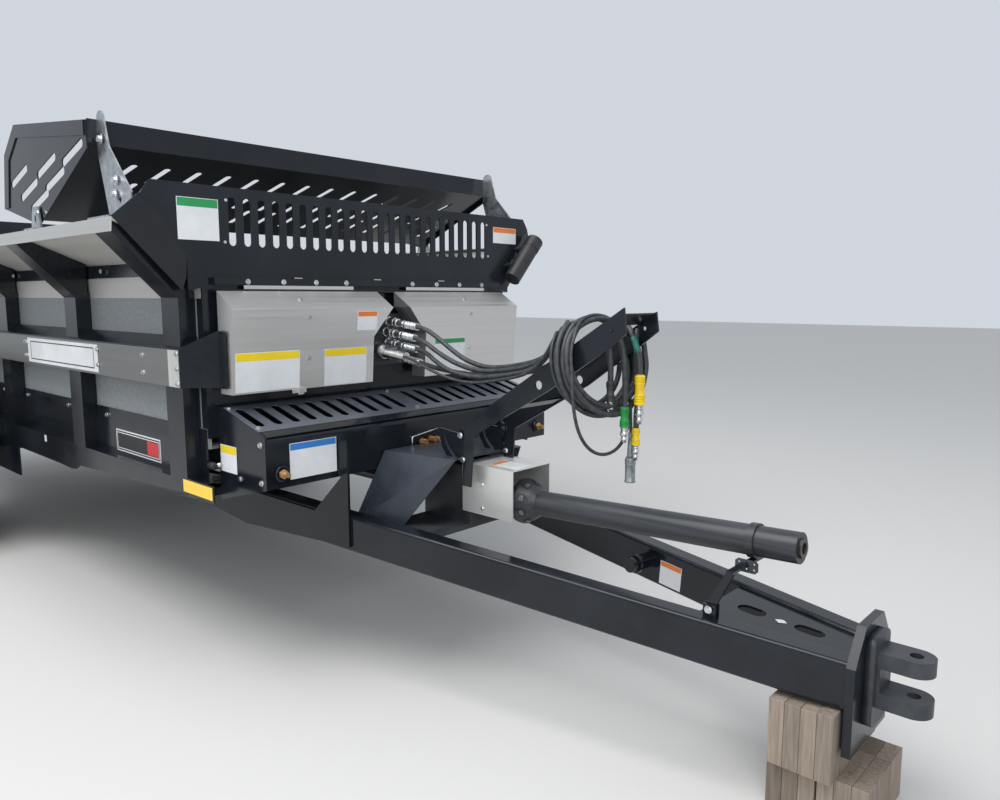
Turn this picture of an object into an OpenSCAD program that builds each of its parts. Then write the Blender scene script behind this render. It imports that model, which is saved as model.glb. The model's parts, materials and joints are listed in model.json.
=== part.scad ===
// Towed manure spreader with a slatted floor conveyor and twin vertical beaters.
// X runs forward to the hitch, Y to the left and Z up from the ground, in millimetres.
// Every piece is drawn with X = 0 on the front wall's face, and in_frame() then moves
// the machine so that the middle of its length lies at X = 0.

/* [Load box] */
// Inside length, from the front wall to the end gate
box_l = 4270; // [3000:10:5200]
// Inside width between the side boards
box_w = 1620; // [1400:10:1900]
// Height of the deck's top above the ground
deck_z = 900; // [860:5:960]
// Thickness of the deck
deck_t = 10; // [6:1:16]
// Thickness of the side boards
board_t = 10; // [6:1:16]
// Height of the top of the upright side boards
board_top = 1462; // [1440:1:1475]
// Height of the knee where the upper side sheets turn outwards
knee_z = 1612; // [1600:1:1640]
// Half of the width over the flared rims
rim_half = 1117; // [1060:1:1200]
// Height of the rims
rim_z = 1744; // [1700:1:1850]
// Height of the rim rails
rim_h = 50; // [30:1:80]
// Thickness of the rim rails
rim_t = 6; // [4:1:10]

/* [Front wall] */
// Thickness of the front wall
wall_t = 8; // [5:1:12]
// Height of the front wall's top edge
wall_top = 1877; // [1840:1:1950]
// Half of the top edge's length
wall_top_half = 998; // [900:1:1050]
// Height of the corner where the wall's flare starts
flare_z = 1491; // [1450:1:1520]
// Number of upright slots
wall_slots = 23; // [11:2:25]
// Spacing of the upright slots
wall_slot_pitch = 62.6; // [56:0.1:64]
// Width of an upright slot
wall_slot_w = 32; // [20:1:40]
// Height of the lowest point of the slots
wall_slot_low = 1660; // [1600:1:1700]
// Height of the highest point of the slots
wall_slot_high = 1842; // [1780:1:1850]

/* [Frame] */
// Height of the frame's lower edge
frame_z = 700; // [660:5:720]
// Outer face of the side plates, from the centre
sill_y = 880; // [870:1:884]
// Height of the side plates' top ledge
ledge_z = 765; // [745:1:790]
// Plate thickness of the side plates
sill_t = 8; // [5:1:12]
// Number of cross members under the deck
cross_n = 9; // [5:1:11]
// Length of the frame behind the end gate
rear_l = 870; // [840:5:950]

/* [Stakes] */
// Number of stakes on each side
stake_n = 5; // [3:1:6]
// Distance between stakes
stake_pitch = 1012; // [700:2:1040]
// Distance of the first stake's front behind the front wall
stake_front = 66; // [50:1:90]
// Outer width of a stake
stake_w = 140; // [100:1:150]
// Thickness of the stakes' folded plate
stake_t = 6; // [4:1:8]

/* [Tongue] */
// Forward reach of the hitch plate's rear face
nose_x = 2140; // [1900:5:2400]
// Half of the gap between the beams at the front wall
tongue_half = 448; // [400:1:500]
// Inward slope of the beams, run per unit of length
tongue_in = 0.179; // [0.15:0.001:0.18]
// Height of the beams' top at the front wall
tongue_z = 651; // [640:1:660]
// Downward slope of the beams, drop per unit of length
tongue_drop = 0.0755; // [0.06:0.0005:0.09]
// Width of a beam
beam_w = 76; // [60:1:90]
// Depth of a beam
beam_h = 140; // [120:1:160]
// Radius of a beam's edges
beam_r = 12; // [6:1:20]

/* [Hitch] */
// Diameter of the hitch pin's hole
pin_d = 36; // [25:0.5:42]
// Distance from the hitch plate's front to the pin's hole
pin_x = 109; // [95:1:140]
// Half of the width of the clevis prongs
prong_half = 50; // [40:1:70]
// Thickness of a clevis prong
prong_t = 45; // [25:1:55]
// Gap between the clevis prongs
prong_gap = 70; // [50:1:90]
// Height of the clevis gap's middle
prong_z = 425; // [400:1:440]

/* [Wheels] */
// Distance of the axle behind the front wall
axle_x = 2860; // [2500:10:3200]
// Outer diameter of the tyres
tyre_d = 1120; // [1000:5:1200]
// Width of the tyres
tyre_w = 425; // [350:5:480]
// Diameter of the rims
rim_d = 590; // [500:5:640]
// Distance from the centre line to the tyres' middle plane
wheel_y = 1145; // [1120:5:1250]
// Side of the square axle beam
axle_s = 110; // [80:1:140]

/* [Beaters] */
// Radius swept by the beaters' bottom paddles
beater_r = 385; // [330:1:395]
// Radius of the beaters' flighting
flight_r = 300; // [220:1:340]
// Radius of the beaters' tube
beater_tube_r = 57; // [40:1:80]
// Height of the beaters' tube above the pan
beater_h = 980; // [800:10:1100]
// Rise of the flighting in one turn
flight_pitch = 520; // [350:10:700]

/* [Drive shaft to the tractor] */
// Radius of the shaft's guard tube
guard_r = 47.5; // [40:0.5:60]
// Length of the guarded shaft
pto_l = 1080; // [900:5:1150]
// Upward slope of the shaft, in degrees
pto_tilt = 2.5; // [0:0.1:4]
// Diameter of the bore that takes the tractor's shaft
pto_bore = 35; // [30:0.5:45]

/* [Hidden] */
$fn = 48;

seat = 0.3;               // running or seating gap between pieces
fit = 0.05;               // radial play of a shaft in its bearing
move_gap = 6;             // gap round a piece that moves

wall_y = box_w / 2;
board_y = wall_y + board_t;
gate_front = -wall_t - box_l;
gate_t = 48;
lip_t = 8;
lip_in = 46;
post_l = 90;
post_front = gate_front + 20;
gate_x = gate_front - lip_t - move_gap;      // front face of the gate
gate_back = gate_x - gate_t;
post_back = gate_back - move_gap - lip_t - 6;
rear_x = gate_front - rear_l;
lamp_t = 30;
clevis_x = nose_x + 25;
pin_centre = clevis_x + pin_x;
front_x = pin_centre + prong_half;
mid_x = (front_x + rear_x - lamp_t) / 2;

az = atan(tongue_in);
slope = atan(tongue_drop * cos(az));
beam_out = tongue_half + beam_w / cos(az);
function beam_top(x) = tongue_z - tongue_drop * x;
function beam_inner(x) = tongue_half - tongue_in * x;
function beam_low(x) = beam_top(x) - beam_h / cos(slope);

sill_top = deck_z - deck_t;
tie_z = frame_z + 30;
plate_t = 8;
housing_front = 330;
housing_half = 785;
chain_t = 18;
chain_w = 40;
chain_y = 600;
slat_h = 26;
strand_up = deck_z + seat;
wheel_loop_r = 68;
idler_x = 180;
drive_x = gate_back - 30;
idler_z = strand_up - wheel_loop_r - 1;
strand_low = idler_z - wheel_loop_r - 1;
wheel_z = tyre_d / 2;
beater_x = rear_x + beater_r + 15;
beater_y = (box_w / 2) / 2;
pan_t = 8;
pan_z = sill_top + pan_t;
beater_foot = pan_z + 24;
beater_top = beater_foot + beater_h;
axle_at = -axle_x;

ink = [0.11, 0.12, 0.14];
steel = [0.68, 0.68, 0.66];
board = [0.42, 0.44, 0.45];

module in_frame() {
    translate([-mid_x, 0, 0]) children();
}

module both_sides() {
    children();
    mirror([0, 1, 0]) children();
}

// A plate with its outline in X and Z, from y to y + t
module plate_xz(y, t) {
    translate([0, y + t, 0]) rotate([90, 0, 0]) linear_extrude(t) children();
}

// A bar with its outline in Y and Z, from x to x + l
module bar_yz(x, l) {
    translate([x, 0, 0]) rotate([90, 0, 90]) linear_extrude(l) children();
}

module box_at(x, y, z, size) {
    translate([x, y, z]) cube(size);
}

// A round bar along Y
module rod_y(x, y, z, r, l) {
    translate([x, y, z]) rotate([-90, 0, 0]) cylinder(r = r, h = l);
}

module slot(w, l) {
    translate([-w / 2, w / 2]) square([w, l - w]);
    translate([0, w / 2]) circle(d = w);
    translate([0, l - w / 2]) circle(d = w);
}

cross_z = sill_top - 90;
cross_half = board_y;
plate_in = sill_y - sill_t - seat;           // what fits between the side plates
panel_in = board_y + seat;
panel_t = 8;
panel_top = 965;
panel_fold = 896;
frame_front = -20;
hanger_front = axle_at + 770;
hanger_back = axle_at - 700;
hanger_z = 475;
function cross_x(i) = -120 + i * (post_back + 200) / (cross_n - 1);

module side_plate_outline() {
    difference() {
        polygon([[frame_front, 716], [-1190, 664], [-1235, 640], [-1300, 633], [-1446, 638],
            [hanger_front, 640], [hanger_front, hanger_z], [hanger_back, hanger_z],
            [hanger_back - 80, 640], [rear_x, frame_z], [rear_x, ledge_z],
            [frame_front, ledge_z]]);
        translate([axle_at, wheel_z]) square(axle_s + 2 * seat, center = true);
    }
}

module frame() {
    color(ink) both_sides() {
        plate_xz(-sill_y, sill_t) side_plate_outline();
        bar_yz(rear_x, frame_front - rear_x)
            translate([-sill_y, ledge_z - sill_t]) square([sill_y - panel_in, sill_t]);
        bar_yz(post_front, frame_front - post_front)
            polygon([[-panel_in, ledge_z - sill_t], [-panel_in, panel_top],
                [-panel_in - panel_t + 3, panel_top], [-panel_in - panel_t, panel_fold],
                [-panel_in - panel_t, ledge_z - sill_t]]);
    }
}

// A channel open towards +X, with its outline in X and Z
module channel(w, h, t) {
    difference() {
        square([w, h]);
        translate([t, t]) square([w, h - 2 * t]);
    }
}

module cross_members() {
    color(ink) {
        for (i = [0 : cross_n - 1]) {
            plate_xz(-cross_half, 2 * cross_half)
                translate([cross_x(i), cross_z]) channel(70, 90, 6);
            plate_xz(-plate_in, 2 * plate_in) translate([cross_x(i), frame_z])
                difference() {
                    square([90, tie_z - frame_z]);
                    translate([6, 6]) square([78, tie_z - frame_z]);
                }
        }
        plate_xz(-cross_half, 2 * cross_half) translate([rear_x, cross_z]) channel(60, 90, 6);
    }
}

module beam_outline() {
    translate([-beam_w, -beam_h + beam_r]) square([beam_w, beam_h - 2 * beam_r]);
    translate([-beam_w + beam_r, -beam_h]) square([beam_w - 2 * beam_r, beam_h]);
    for (y = [-beam_w + beam_r, -beam_r])
        for (z = [-beam_h + beam_r, -beam_r])
            translate([y, z]) circle(beam_r);
}

tongue_rear = -800;
module tongue_beam() {
    intersection() {
        translate([tongue_rear, -beam_inner(tongue_rear), beam_top(tongue_rear)])
            rotate([0, slope, az]) bar_yz(-100, 1.2 * (nose_x - tongue_rear)) beam_outline();
        box_at(tongue_rear, -sill_y, 0, [nose_x - tongue_rear, sill_y, frame_z]);
    }
}

nose_rear = 1700;
module nose_outline() {
    difference() {
        polygon([[nose_rear, -beam_inner(nose_rear)], [nose_rear, beam_inner(nose_rear)],
            [nose_x, beam_inner(nose_x)], [nose_x, -beam_inner(nose_x)]]);
        translate([nose_rear + 110, 0]) rotate(-90) translate([0, -45]) slot(56, 90);
        translate([nose_rear + 290, 0]) rotate(-90) translate([0, -45]) slot(50, 90);
    }
}

plate_low = 225;
plate_top = 578;
module tongue() {
    color(ink) {
        both_sides() tongue_beam();
        translate([0, 0, beam_top(0) - 22]) rotate([0, slope, 0])
            linear_extrude(8) nose_outline();
        bar_yz(nose_x, clevis_x - nose_x)
            polygon([[-150, plate_low], [150, plate_low], [150, 480], [75, plate_top],
                [-75, plate_top], [-150, 480]]);
        jack_stub();
        rest_ears();
    }
}

rest_x = 1750;
rest_y = -162;
rest_z = 545;
rest_pin_r = 8;
module rest_ears() {
    for (y = [rest_y - 14, rest_y + 8])
        box_at(rest_x - 20, y, beam_top(rest_x) - 8, [40, 6, rest_z + 15 - beam_top(rest_x) + 8]);
    rod_y(rest_x, rest_y - 16, rest_z, rest_pin_r, 32);
}

stub_x = 1284;
module jack_stub() {
    translate([stub_x, beam_inner(stub_x), beam_top(stub_x) - 68]) rotate([0, 0, -az]) {
        rod_y(0, -86, 0, 28, 90);
        rod_y(0, -60, 0, 36, 12);
        rod_y(0, beam_w - 4, 0, 28, 20);
    }
}

gusset_t = 12;
gusset_front = 386;
module gussets() {
    color(ink) both_sides() translate([0, -beam_out, 0]) rotate([0, 0, az])
        plate_xz(-gusset_t - seat, gusset_t)
            polygon([[gusset_front, 503], [gusset_front, 925], [348, 925], [348, 775],
                [205, 625], [-165, 655], [-230, frame_z], [-700, frame_z], [-700, 600],
                [-362, 543], [-204, 509]]);
}

prong_low = prong_z - prong_gap / 2 - prong_t;
module prong_outline() {
    translate([clevis_x, -prong_half]) square([pin_x, 2 * prong_half]);
    translate([pin_centre, 0]) circle(prong_half, $fn = 64);
}

module hitch_clevis() {
    color([0.2, 0.2, 0.22]) difference() {
        union() {
            translate([0, 0, prong_low]) linear_extrude(prong_t) prong_outline();
            translate([0, 0, prong_z + prong_gap / 2]) linear_extrude(prong_t)
                prong_outline();
            box_at(clevis_x, -prong_half, prong_low,
                [34, 2 * prong_half, 2 * prong_t + prong_gap]);
        }
        translate([pin_centre, 0, prong_low - 5])
            cylinder(d = pin_d, h = 2 * prong_t + prong_gap + 10, $fn = 64);
    }
}

block_x = 1950;
block_l = 180;
module support_blocks() {
    color([0.62, 0.52, 0.40]) {
        plate_xz(-190, 380)
            polygon([[block_x, 150], [block_x + block_l, 150],
                [block_x + block_l, beam_low(block_x + block_l) - seat],
                [block_x, beam_low(block_x) - seat]]);
        box_at(block_x - 15, -150, 0, [140, 300, 150]);
        box_at(block_x + 130, -150, 0, [140, 300, 150]);
    }
}

module deck() {
    color(board) box_at(gate_front, -wall_y, sill_top, [-gate_front - wall_t, box_w, deck_t]);
}

// The chain's path seen from the side, as a closed band between two radii
module chain_path(r) {
    translate([idler_x, idler_z]) circle(r);
    translate([drive_x, idler_z]) circle(r);
    translate([drive_x, idler_z - r]) square([idler_x - drive_x, 2 * r]);
}

slat_pitch = 250;
slat_n = floor((idler_x - 60 - drive_x) / slat_pitch);
link_l = 90;
link_pitch = 125;
module apron() {
    inner_r = wheel_loop_r + 1;
    run = idler_x - drive_x;
    color([0.3, 0.3, 0.3]) both_sides() plate_xz(-chain_y - chain_w / 2, chain_w) {
        difference() {
            chain_path(inner_r + chain_t - 5);
            chain_path(inner_r + 5);
        }
        for (i = [0 : floor(run / link_pitch) - 1])
            for (z = [idler_z + inner_r, idler_z - inner_r - chain_t])
                translate([drive_x + i * link_pitch + 20, z]) square([link_l, chain_t]);
        for (a = [-64 : 32 : 64]) {
            translate([idler_x, idler_z]) rotate(a) translate([inner_r, -18])
                square([chain_t - 1, 36]);
            translate([drive_x, idler_z]) rotate(180 + a) translate([inner_r, -18])
                square([chain_t - 1, 36]);
        }
    }
}

slat_half = housing_half - plate_t - 7;
slat_w = 50;
module slat() {
    inner_half = chain_y - chain_w / 2 - seat;
    outer_y = chain_y + chain_w / 2 + seat;
    box_at(0, -slat_half, chain_t + seat, [slat_w, 2 * slat_half, slat_h - chain_t - seat]);
    box_at(slat_w / 2 - 4, -inner_half, 0, [8, 2 * inner_half, chain_t + seat]);
    both_sides() box_at(slat_w / 2 - 4, -slat_half, 0, [8, slat_half - outer_y, chain_t + seat]);
}

module slats() {
    color([0.34, 0.34, 0.35]) for (i = [0 : slat_n]) {
        translate([drive_x + i * slat_pitch, 0, strand_up]) slat();
        translate([drive_x + i * slat_pitch, 0, strand_low]) mirror([0, 0, 1]) slat();
    }
}

pocket_r = 12;
module apron_shafts() {
    // Each row: place along the machine, half of the shaft's length
    shafts = [[idler_x, housing_half - plate_t - seat], [drive_x, board_y]];
    color([0.25, 0.25, 0.27]) for (shaft = shafts) {
        rod_y(shaft[0], -shaft[1], idler_z, 25, 2 * shaft[1]);
        both_sides() difference() {
            rod_y(shaft[0], -chain_y - 12, idler_z, wheel_loop_r, 24);
            for (a = [0 : 45 : 315])
                rod_y(shaft[0] + wheel_loop_r * cos(a), -chain_y - 13,
                    idler_z + wheel_loop_r * sin(a), pocket_r, 26);
        }
    }
}

module side_boards() {
    color(board) both_sides() bar_yz(post_front, -wall_t - post_front)
        translate([-board_y, sill_top]) square([board_t, board_top - sill_top]);
}

// The wall's outer strips, folded back about a slanting line
fold_y = 875;
fold_top = [996, 1787];
fold_turn = 90 - atan2(fold_top[1] - knee_z, fold_top[0] - fold_y);
fold_back = 20;
module at_fold() {
    translate([0, -fold_y, knee_z]) rotate([fold_turn, 0, 0]) rotate([0, 0, -fold_back])
        children();
}

module wing_space() {
    at_fold() translate([-wall_t - seat, -400, -400]) cube([500, 404, 900]);
}

module clear_of_wing() {
    difference() {
        children();
        both_sides() wing_space();
    }
}

sheet_t = 6;
sheet_y = rim_half - rim_t - seat;
sheet_z = rim_z - rim_t - seat - sheet_t;
module flare_sheets() {
    color([0.5, 0.52, 0.53]) clear_of_wing() both_sides()
        bar_yz(post_front, -wall_t - seat - post_front)
            polygon([[-board_y, board_top + seat], [-board_y, knee_z], [-sheet_y, sheet_z],
                [-sheet_y, sheet_z + sheet_t], [-board_y + sheet_t, knee_z + sheet_t],
                [-board_y + sheet_t, board_top + seat]]);
}

shelf_y = 898;
shelf_t = 6;
shelf_low = 1128;
shelf_high = 1270;
shelf_in_z = 1312;
shelf_front = -60;
stake_y = sill_y + stake_t;
stake_knee = board_top + 3;
rail_low = knee_z - 62;
rail_high = knee_z - 6;
web_top = 1488;
// Height of the flared sheet's lower face at a distance from the centre
function sheet_low(y) = knee_z + (y - board_y) * (sheet_z - knee_z) / (sheet_y - board_y);
module web_outline() {
    polygon([[-panel_in - panel_t - seat, ledge_z + seat], [-stake_y, ledge_z + seat],
        [-stake_y, stake_knee], [-sheet_y, rim_z - rim_h], [-sheet_y, sheet_low(sheet_y) - 0.4],
        [-board_y - 12, sheet_low(board_y + 12) - 0.4], [-board_y - 12, web_top],
        [-board_y - seat, web_top], [-board_y - seat, panel_top + 5],
        [-panel_in - panel_t - seat, panel_top + 5]]);
}

module flange_outline() {
    polygon([[-stake_y, ledge_z + seat], [-stake_y, stake_knee], [-sheet_y, rim_z - rim_h],
        [-sheet_y, rim_z - rim_h + 1.4 * stake_t],
        [-stake_y + stake_t, stake_knee + 0.4 * stake_t], [-stake_y + stake_t, ledge_z + seat]]);
}

function stake_x(i) = -stake_front - stake_w - i * stake_pitch;
module stakes() {
    color(ink) both_sides() {
        for (i = [0 : stake_n - 1])
            if (stake_x(i) > post_front) {
                bar_yz(stake_x(i), stake_t) web_outline();
                bar_yz(stake_x(i) + stake_w - stake_t, stake_t) web_outline();
                bar_yz(stake_x(i), stake_w) flange_outline();
            }
        bar_yz(post_front, -wall_t - seat - post_front)
            translate([-board_y - seat - 6, rail_low]) square([6, rail_high - rail_low]);
    }
}

module shelves() {
    color(steel) both_sides() bar_yz(post_front, shelf_front - post_front)
        translate([-shelf_y, shelf_low]) square([shelf_t, shelf_high - shelf_low]);
}

// Sloped tops of the shelves, notched round the stakes, and their slanted front ends
module shelf_plates() {
    end_y = housing_half + 11;
    end_x = 50;
    color(ink) both_sides() {
        difference() {
            bar_yz(post_front, shelf_front - post_front)
                polygon([[-shelf_y, shelf_high + seat], [-board_y - seat, shelf_in_z],
                    [-board_y - seat, shelf_in_z + shelf_t],
                    [-shelf_y, shelf_high + seat + shelf_t]]);
            for (i = [0 : stake_n - 1])
                box_at(stake_x(i) - seat, -stake_y - seat, shelf_low,
                    [stake_w + 2 * seat, 100, 300]);
        }
        intersection() {
            translate([0, 0, shelf_low]) linear_extrude(300)
                polygon([[shelf_front + seat, -shelf_y], [end_x, -end_y], [100, -end_y],
                    [100, -end_y + 5], [end_x - 2, -end_y + 5],
                    [shelf_front + seat, -shelf_y + 7]]);
            bar_yz(shelf_front, 200)
                polygon([[-shelf_y, shelf_low], [-shelf_y, shelf_high + shelf_t],
                    [-end_y, shelf_in_z + 30], [-end_y + 5, shelf_in_z + 26],
                    [-end_y + 5, shelf_low]]);
        }
    }
}

rail_top_w = 42;
module rim_rails() {
    color(steel) clear_of_wing() both_sides()
        bar_yz(post_front, -wall_t - seat - post_front)
            polygon([[-rim_half, rim_z - rim_h], [-rim_half + rim_t, rim_z - rim_h],
                [-rim_half + rim_t, rim_z - rim_t], [-rim_half + rail_top_w, rim_z - rim_t],
                [-rim_half + rail_top_w, rim_z], [-rim_half, rim_z]]);
}

wall_low = strand_up + slat_h + move_gap;
hinge_x = 28;
hinge_z = 1490;
hinge_r = 5.7;
wall_low_half = board_y + 5;
module wall_outline() {
    difference() {
        polygon([[-wall_low_half, wall_low], [wall_low_half, wall_low], [wall_low_half, 1502],
            [fold_y, flare_z], [fold_y, knee_z], fold_top, [1035, 1824],
            [wall_top_half, wall_top], [-wall_top_half, wall_top], [-1035, 1824],
            [-fold_top[0], fold_top[1]], [-fold_y, knee_z], [-fold_y, flare_z],
            [-wall_low_half, 1502]]);
        for (i = [0 : wall_slots - 1])
            translate([(i - (wall_slots - 1) / 2) * wall_slot_pitch, wall_slot_low])
                slot(wall_slot_w, wall_slot_high - wall_slot_low);
    }
}

module front_wall() {
    color(ink) {
        bar_yz(-wall_t, wall_t) wall_outline();
        both_sides() {
            at_fold() translate([-wall_t, 0, 0]) bar_yz(0, wall_t)
                polygon([[1, 0], [1, 212], [-13, 268], [-131, 246], [-82, -95], [1, -20]]);
            box_at(-45, -wall_low_half, panel_top + 5,
                [45, wall_low_half - board_y - seat, board_top - panel_top - 5]);
        }
        box_at(0, -785, 1514, [25, 1570, 26]);
        box_at(0, -785, hinge_z - 6, [hinge_x - 4, 1570, 12]);
        rod_y(hinge_x, -785, hinge_z, hinge_r, 1570);
    }
}

hood_top = 2112;
hood_x = -330;
hood_half = rim_half - 48;
hood_back = -1100;
hood_back_z = 2200;
hood_low_x = -880;
hood_low = 1785;
hood_edge = 2030;
hood_t = 5;
module hood() {
    panel_l = norm([hood_x - hood_low_x, hood_edge - hood_low]);
    panel_tilt = atan2(hood_edge - hood_low, hood_x - hood_low_x);
    // Each row: distance up the panel of the slots' low ends, shift across it
    panel_rows = [[360, 0], [225, 50], [90, 100]];
    // Centres of the wings' slots, along the machine and up
    wing_slots = [[-1092, 1983], [-758, 1992], [-475, 2010], [-979, 1917], [-673, 1930],
        [-859, 1862]];
    color(ink) {
        translate([hood_low_x, 0, hood_low]) rotate([0, -panel_tilt, 0])
            linear_extrude(hood_t) difference() {
                translate([0, -hood_half]) square([panel_l, 2 * hood_half]);
                for (row = panel_rows)
                    for (i = [0 : 13])
                        translate([row[0], (i - 6.5) * 134.6 + row[1] - 24]) rotate(-71)
                            slot(30, 140);
            }
        box_at(hood_x - 2, -hood_half, hood_edge - 2, [5, 2 * hood_half, hood_top - hood_edge + 7]);
        both_sides() {
            plate_xz(-hood_half - hood_t, hood_t) difference() {
                polygon([[hood_x, hood_top], [hood_back, hood_back_z], [-1250, 2090],
                    [-1300, 1860], [hood_low_x, hood_low - 20], [hood_x, hood_edge - 20]]);
                for (at = wing_slots)
                    translate(at) rotate(-75) translate([0, -113]) slot(34, 226);
            }
            plate_xz(-hood_half - 2 * hood_t, hood_t)
                polygon([[hood_x - 10, hood_top], [hood_back, hood_back_z], [-1250, 2090],
                    [-1300, 1860], [-1243, 1862], [-1198, 2063], [-1083, 2144],
                    [hood_x - 10, hood_top - 55]]);
        }
    }
}

ear_y = hood_half - 33;
ear_t = 6;
module hood_brackets() {
    lug_y = hood_half + 2 * hood_t + seat;
    color([0.62, 0.64, 0.66]) clear_of_wing() both_sides() {
        plate_xz(-ear_y, ear_t) difference() {
            union() {
                polygon([[-60, rim_z], [-60, 1835], [-110, 1885], [-230, 2010],
                    [-262, hood_top], [hood_x + 3 + seat, hood_top],
                    [hood_x + 3 + seat, 1990], [-250, rim_z]]);
                translate([(hood_x - 259) / 2, hood_top]) circle(32);
            }
            translate([-160, 1815]) circle(14);
        }
        box_at(-250, -rim_half, rim_z, [190, rim_half - ear_y + ear_t, ear_t]);
        plate_xz(-lug_y - 8, 8) difference() {
            polygon([[hood_low_x - 60, rim_z], [hood_low_x + 50, rim_z],
                [hood_low_x + 25, 1840], [hood_low_x - 35, 1840]]);
            translate([hood_low_x - 5, 1775]) slot(14, 50);
        }
        box_at(hood_low_x - 60, -rim_half, rim_z, [110, rim_half - lug_y, 6]);
    }
}

module apron_housing() {
    lip_r = 24;
    color(ink) {
        both_sides() plate_xz(-housing_half, plate_t)
            polygon([[0, 690], [housing_front, 777], [housing_front, 965], [290, 985],
                [45, 1050], [0, 1050]]);
        box_at(housing_front - plate_t, -housing_half, 777, [plate_t, 2 * housing_half, 168]);
        plate_xz(-housing_half, 2 * housing_half) difference() {
            intersection() {
                translate([housing_front - lip_r, 945]) circle(lip_r);
                translate([housing_front - lip_r, 945]) square(2 * lip_r);
            }
            translate([housing_front - lip_r, 945]) circle(lip_r - 6);
        }
    }
}

module slotted_cover() {
    cover_l = norm([245, 65]);
    color([0.3, 0.31, 0.33]) translate([290, 0, 985 + seat]) rotate([0, atan2(65, 245), 0])
        translate([-cover_l, 0, 0]) linear_extrude(4) difference() {
            translate([0, -housing_half]) square([cover_l, 2 * housing_half]);
            for (side = [-1, 1])
                for (i = [0 : 9])
                    for (half = [0, 1])
                        translate([cover_l / 2 - 5 + half * (cover_l / 2 - 25),
                            side * 370 + (i - 4.5) * 66])
                            rotate(90) slot(16, cover_l / 2 - 34);
        }
}

module take_ups() {
    color([0.55, 0.45, 0.35]) both_sides()
        translate([housing_front + seat, -700, idler_z]) rotate([0, 90, 0]) {
            cylinder(r = 34, h = 10);
            cylinder(r = 14, h = 45);
        }
}

cover_low = 1105;
cover_high = hinge_z;
cover_front = 145;
cover_back = hinge_x + hinge_r + seat;
cover_t = 3;
cover_fold = 1423;
cover_widen = 1300;
// Covers from y_end to the gap, whose edge slants outwards from gap_top to gap_low
module cover_shell(y_end, gap_top, gap_low) {
    outline = [[cover_back, cover_high], [cover_front, cover_fold],
        [cover_front - 25, cover_low], [cover_back, cover_low]];
    side = y_end < 0 ? -1 : 1;
    reach = 800;
    difference() {
        intersection() {
            plate_xz(-reach, 2 * reach) polygon(outline);
            bar_yz(0, 200) polygon([[y_end, cover_low], [y_end, cover_high],
                [gap_top, cover_high], [gap_top, cover_fold], [gap_low, cover_widen],
                [gap_low, cover_low]]);
        }
        intersection() {
            plate_xz(-reach, 2 * reach)
                polygon([[cover_back - 1, cover_high - cover_t],
                    [cover_back, cover_high - cover_t],
                    [cover_front - cover_t, cover_fold - cover_t],
                    [cover_front - 25 - cover_t, cover_low - 1], [cover_back - 1, cover_low - 1]]);
            bar_yz(0, 200) polygon([[y_end - side * cover_t, 0], [y_end - side * cover_t, 2000],
                [gap_top + side * cover_t, 2000], [gap_top + side * cover_t, cover_fold - 1],
                [gap_low + side * cover_t, cover_widen - 1], [gap_low + side * cover_t, 0]]);
        }
    }
}

module cover_right() {
    color(steel) cover_shell(-housing_half, -28, -130);
}

module cover_left() {
    color(steel) cover_shell(housing_half, 68, 170);
}

bulkhead_x = 62;
bulkhead_t = 6;
hose_r = 10;
cable_r = 6;
// Each row: across, up, radius of the threaded end, radius of the crimped sleeve
fittings = [[-3, 1364, 17, 15], [-19, 1318, 17, 15], [-9, 1270, 17, 15], [13, 1210, 17, 15],
    [-71, 1240, 30, 20]];
fitting_end = 274;
fitting_fall = 0.115;
module hose_bulkhead() {
    color([0.3, 0.31, 0.32]) {
        bar_yz(bulkhead_x, bulkhead_t) polygon([[-120, 1170], [-120, 1292], [-35, 1395],
            [72, 1395], [160, 1292], [160, 1170]]);
        box_at(0, -120, 1170, [bulkhead_x, 5, 122]);
        box_at(0, 155, 1170, [bulkhead_x, 5, 122]);
        for (f = fittings)
            translate([bulkhead_x + 1, f[0], f[1]]) rotate([0, 90 + atan(fitting_fall), 0]) {
                cylinder(r = f[2], h = 75);
                cylinder(r = f[3], h = (fitting_end - bulkhead_x) / cos(atan(fitting_fall)) - 1);
            }
    }
}

gearbox_x = 420;
gearbox_l = 260;
gearbox_half = 106;
base_z = 560;
base_t = 20;
module gearbox() {
    edge = 0.5;
    color([0.2, 0.2, 0.22]) {
        box_at(gearbox_x, -gearbox_half, base_z + base_t, [gearbox_l, 2 * gearbox_half, 230]);
        translate([gearbox_x + gearbox_l, 0, pto_z]) rotate([0, 90, 0])
            cylinder(r = 40, h = pto_x - fork_back - gearbox_x - gearbox_l);
        both_sides() {
            box_at(pto_x - fork_back, -ball_r - 14, pto_z - 14, [fork_back, 12, 28]);
            rod_y(pto_x, -ball_r - 14, pto_z, 14, 12);
            rod_y(pto_x, -ball_r - 3, pto_z, 9, 3 - seat);
        }
        translate([0, 0, base_z]) linear_extrude(base_t)
            polygon([[gearbox_x, -beam_inner(gearbox_x) + edge],
                [gearbox_x + gearbox_l, -beam_inner(gearbox_x + gearbox_l) + edge],
                [gearbox_x + gearbox_l, beam_inner(gearbox_x + gearbox_l) - edge],
                [gearbox_x, beam_inner(gearbox_x) - edge]]);
    }
}

guard_top = 850;
guard_z = base_z + base_t + seat;
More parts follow.
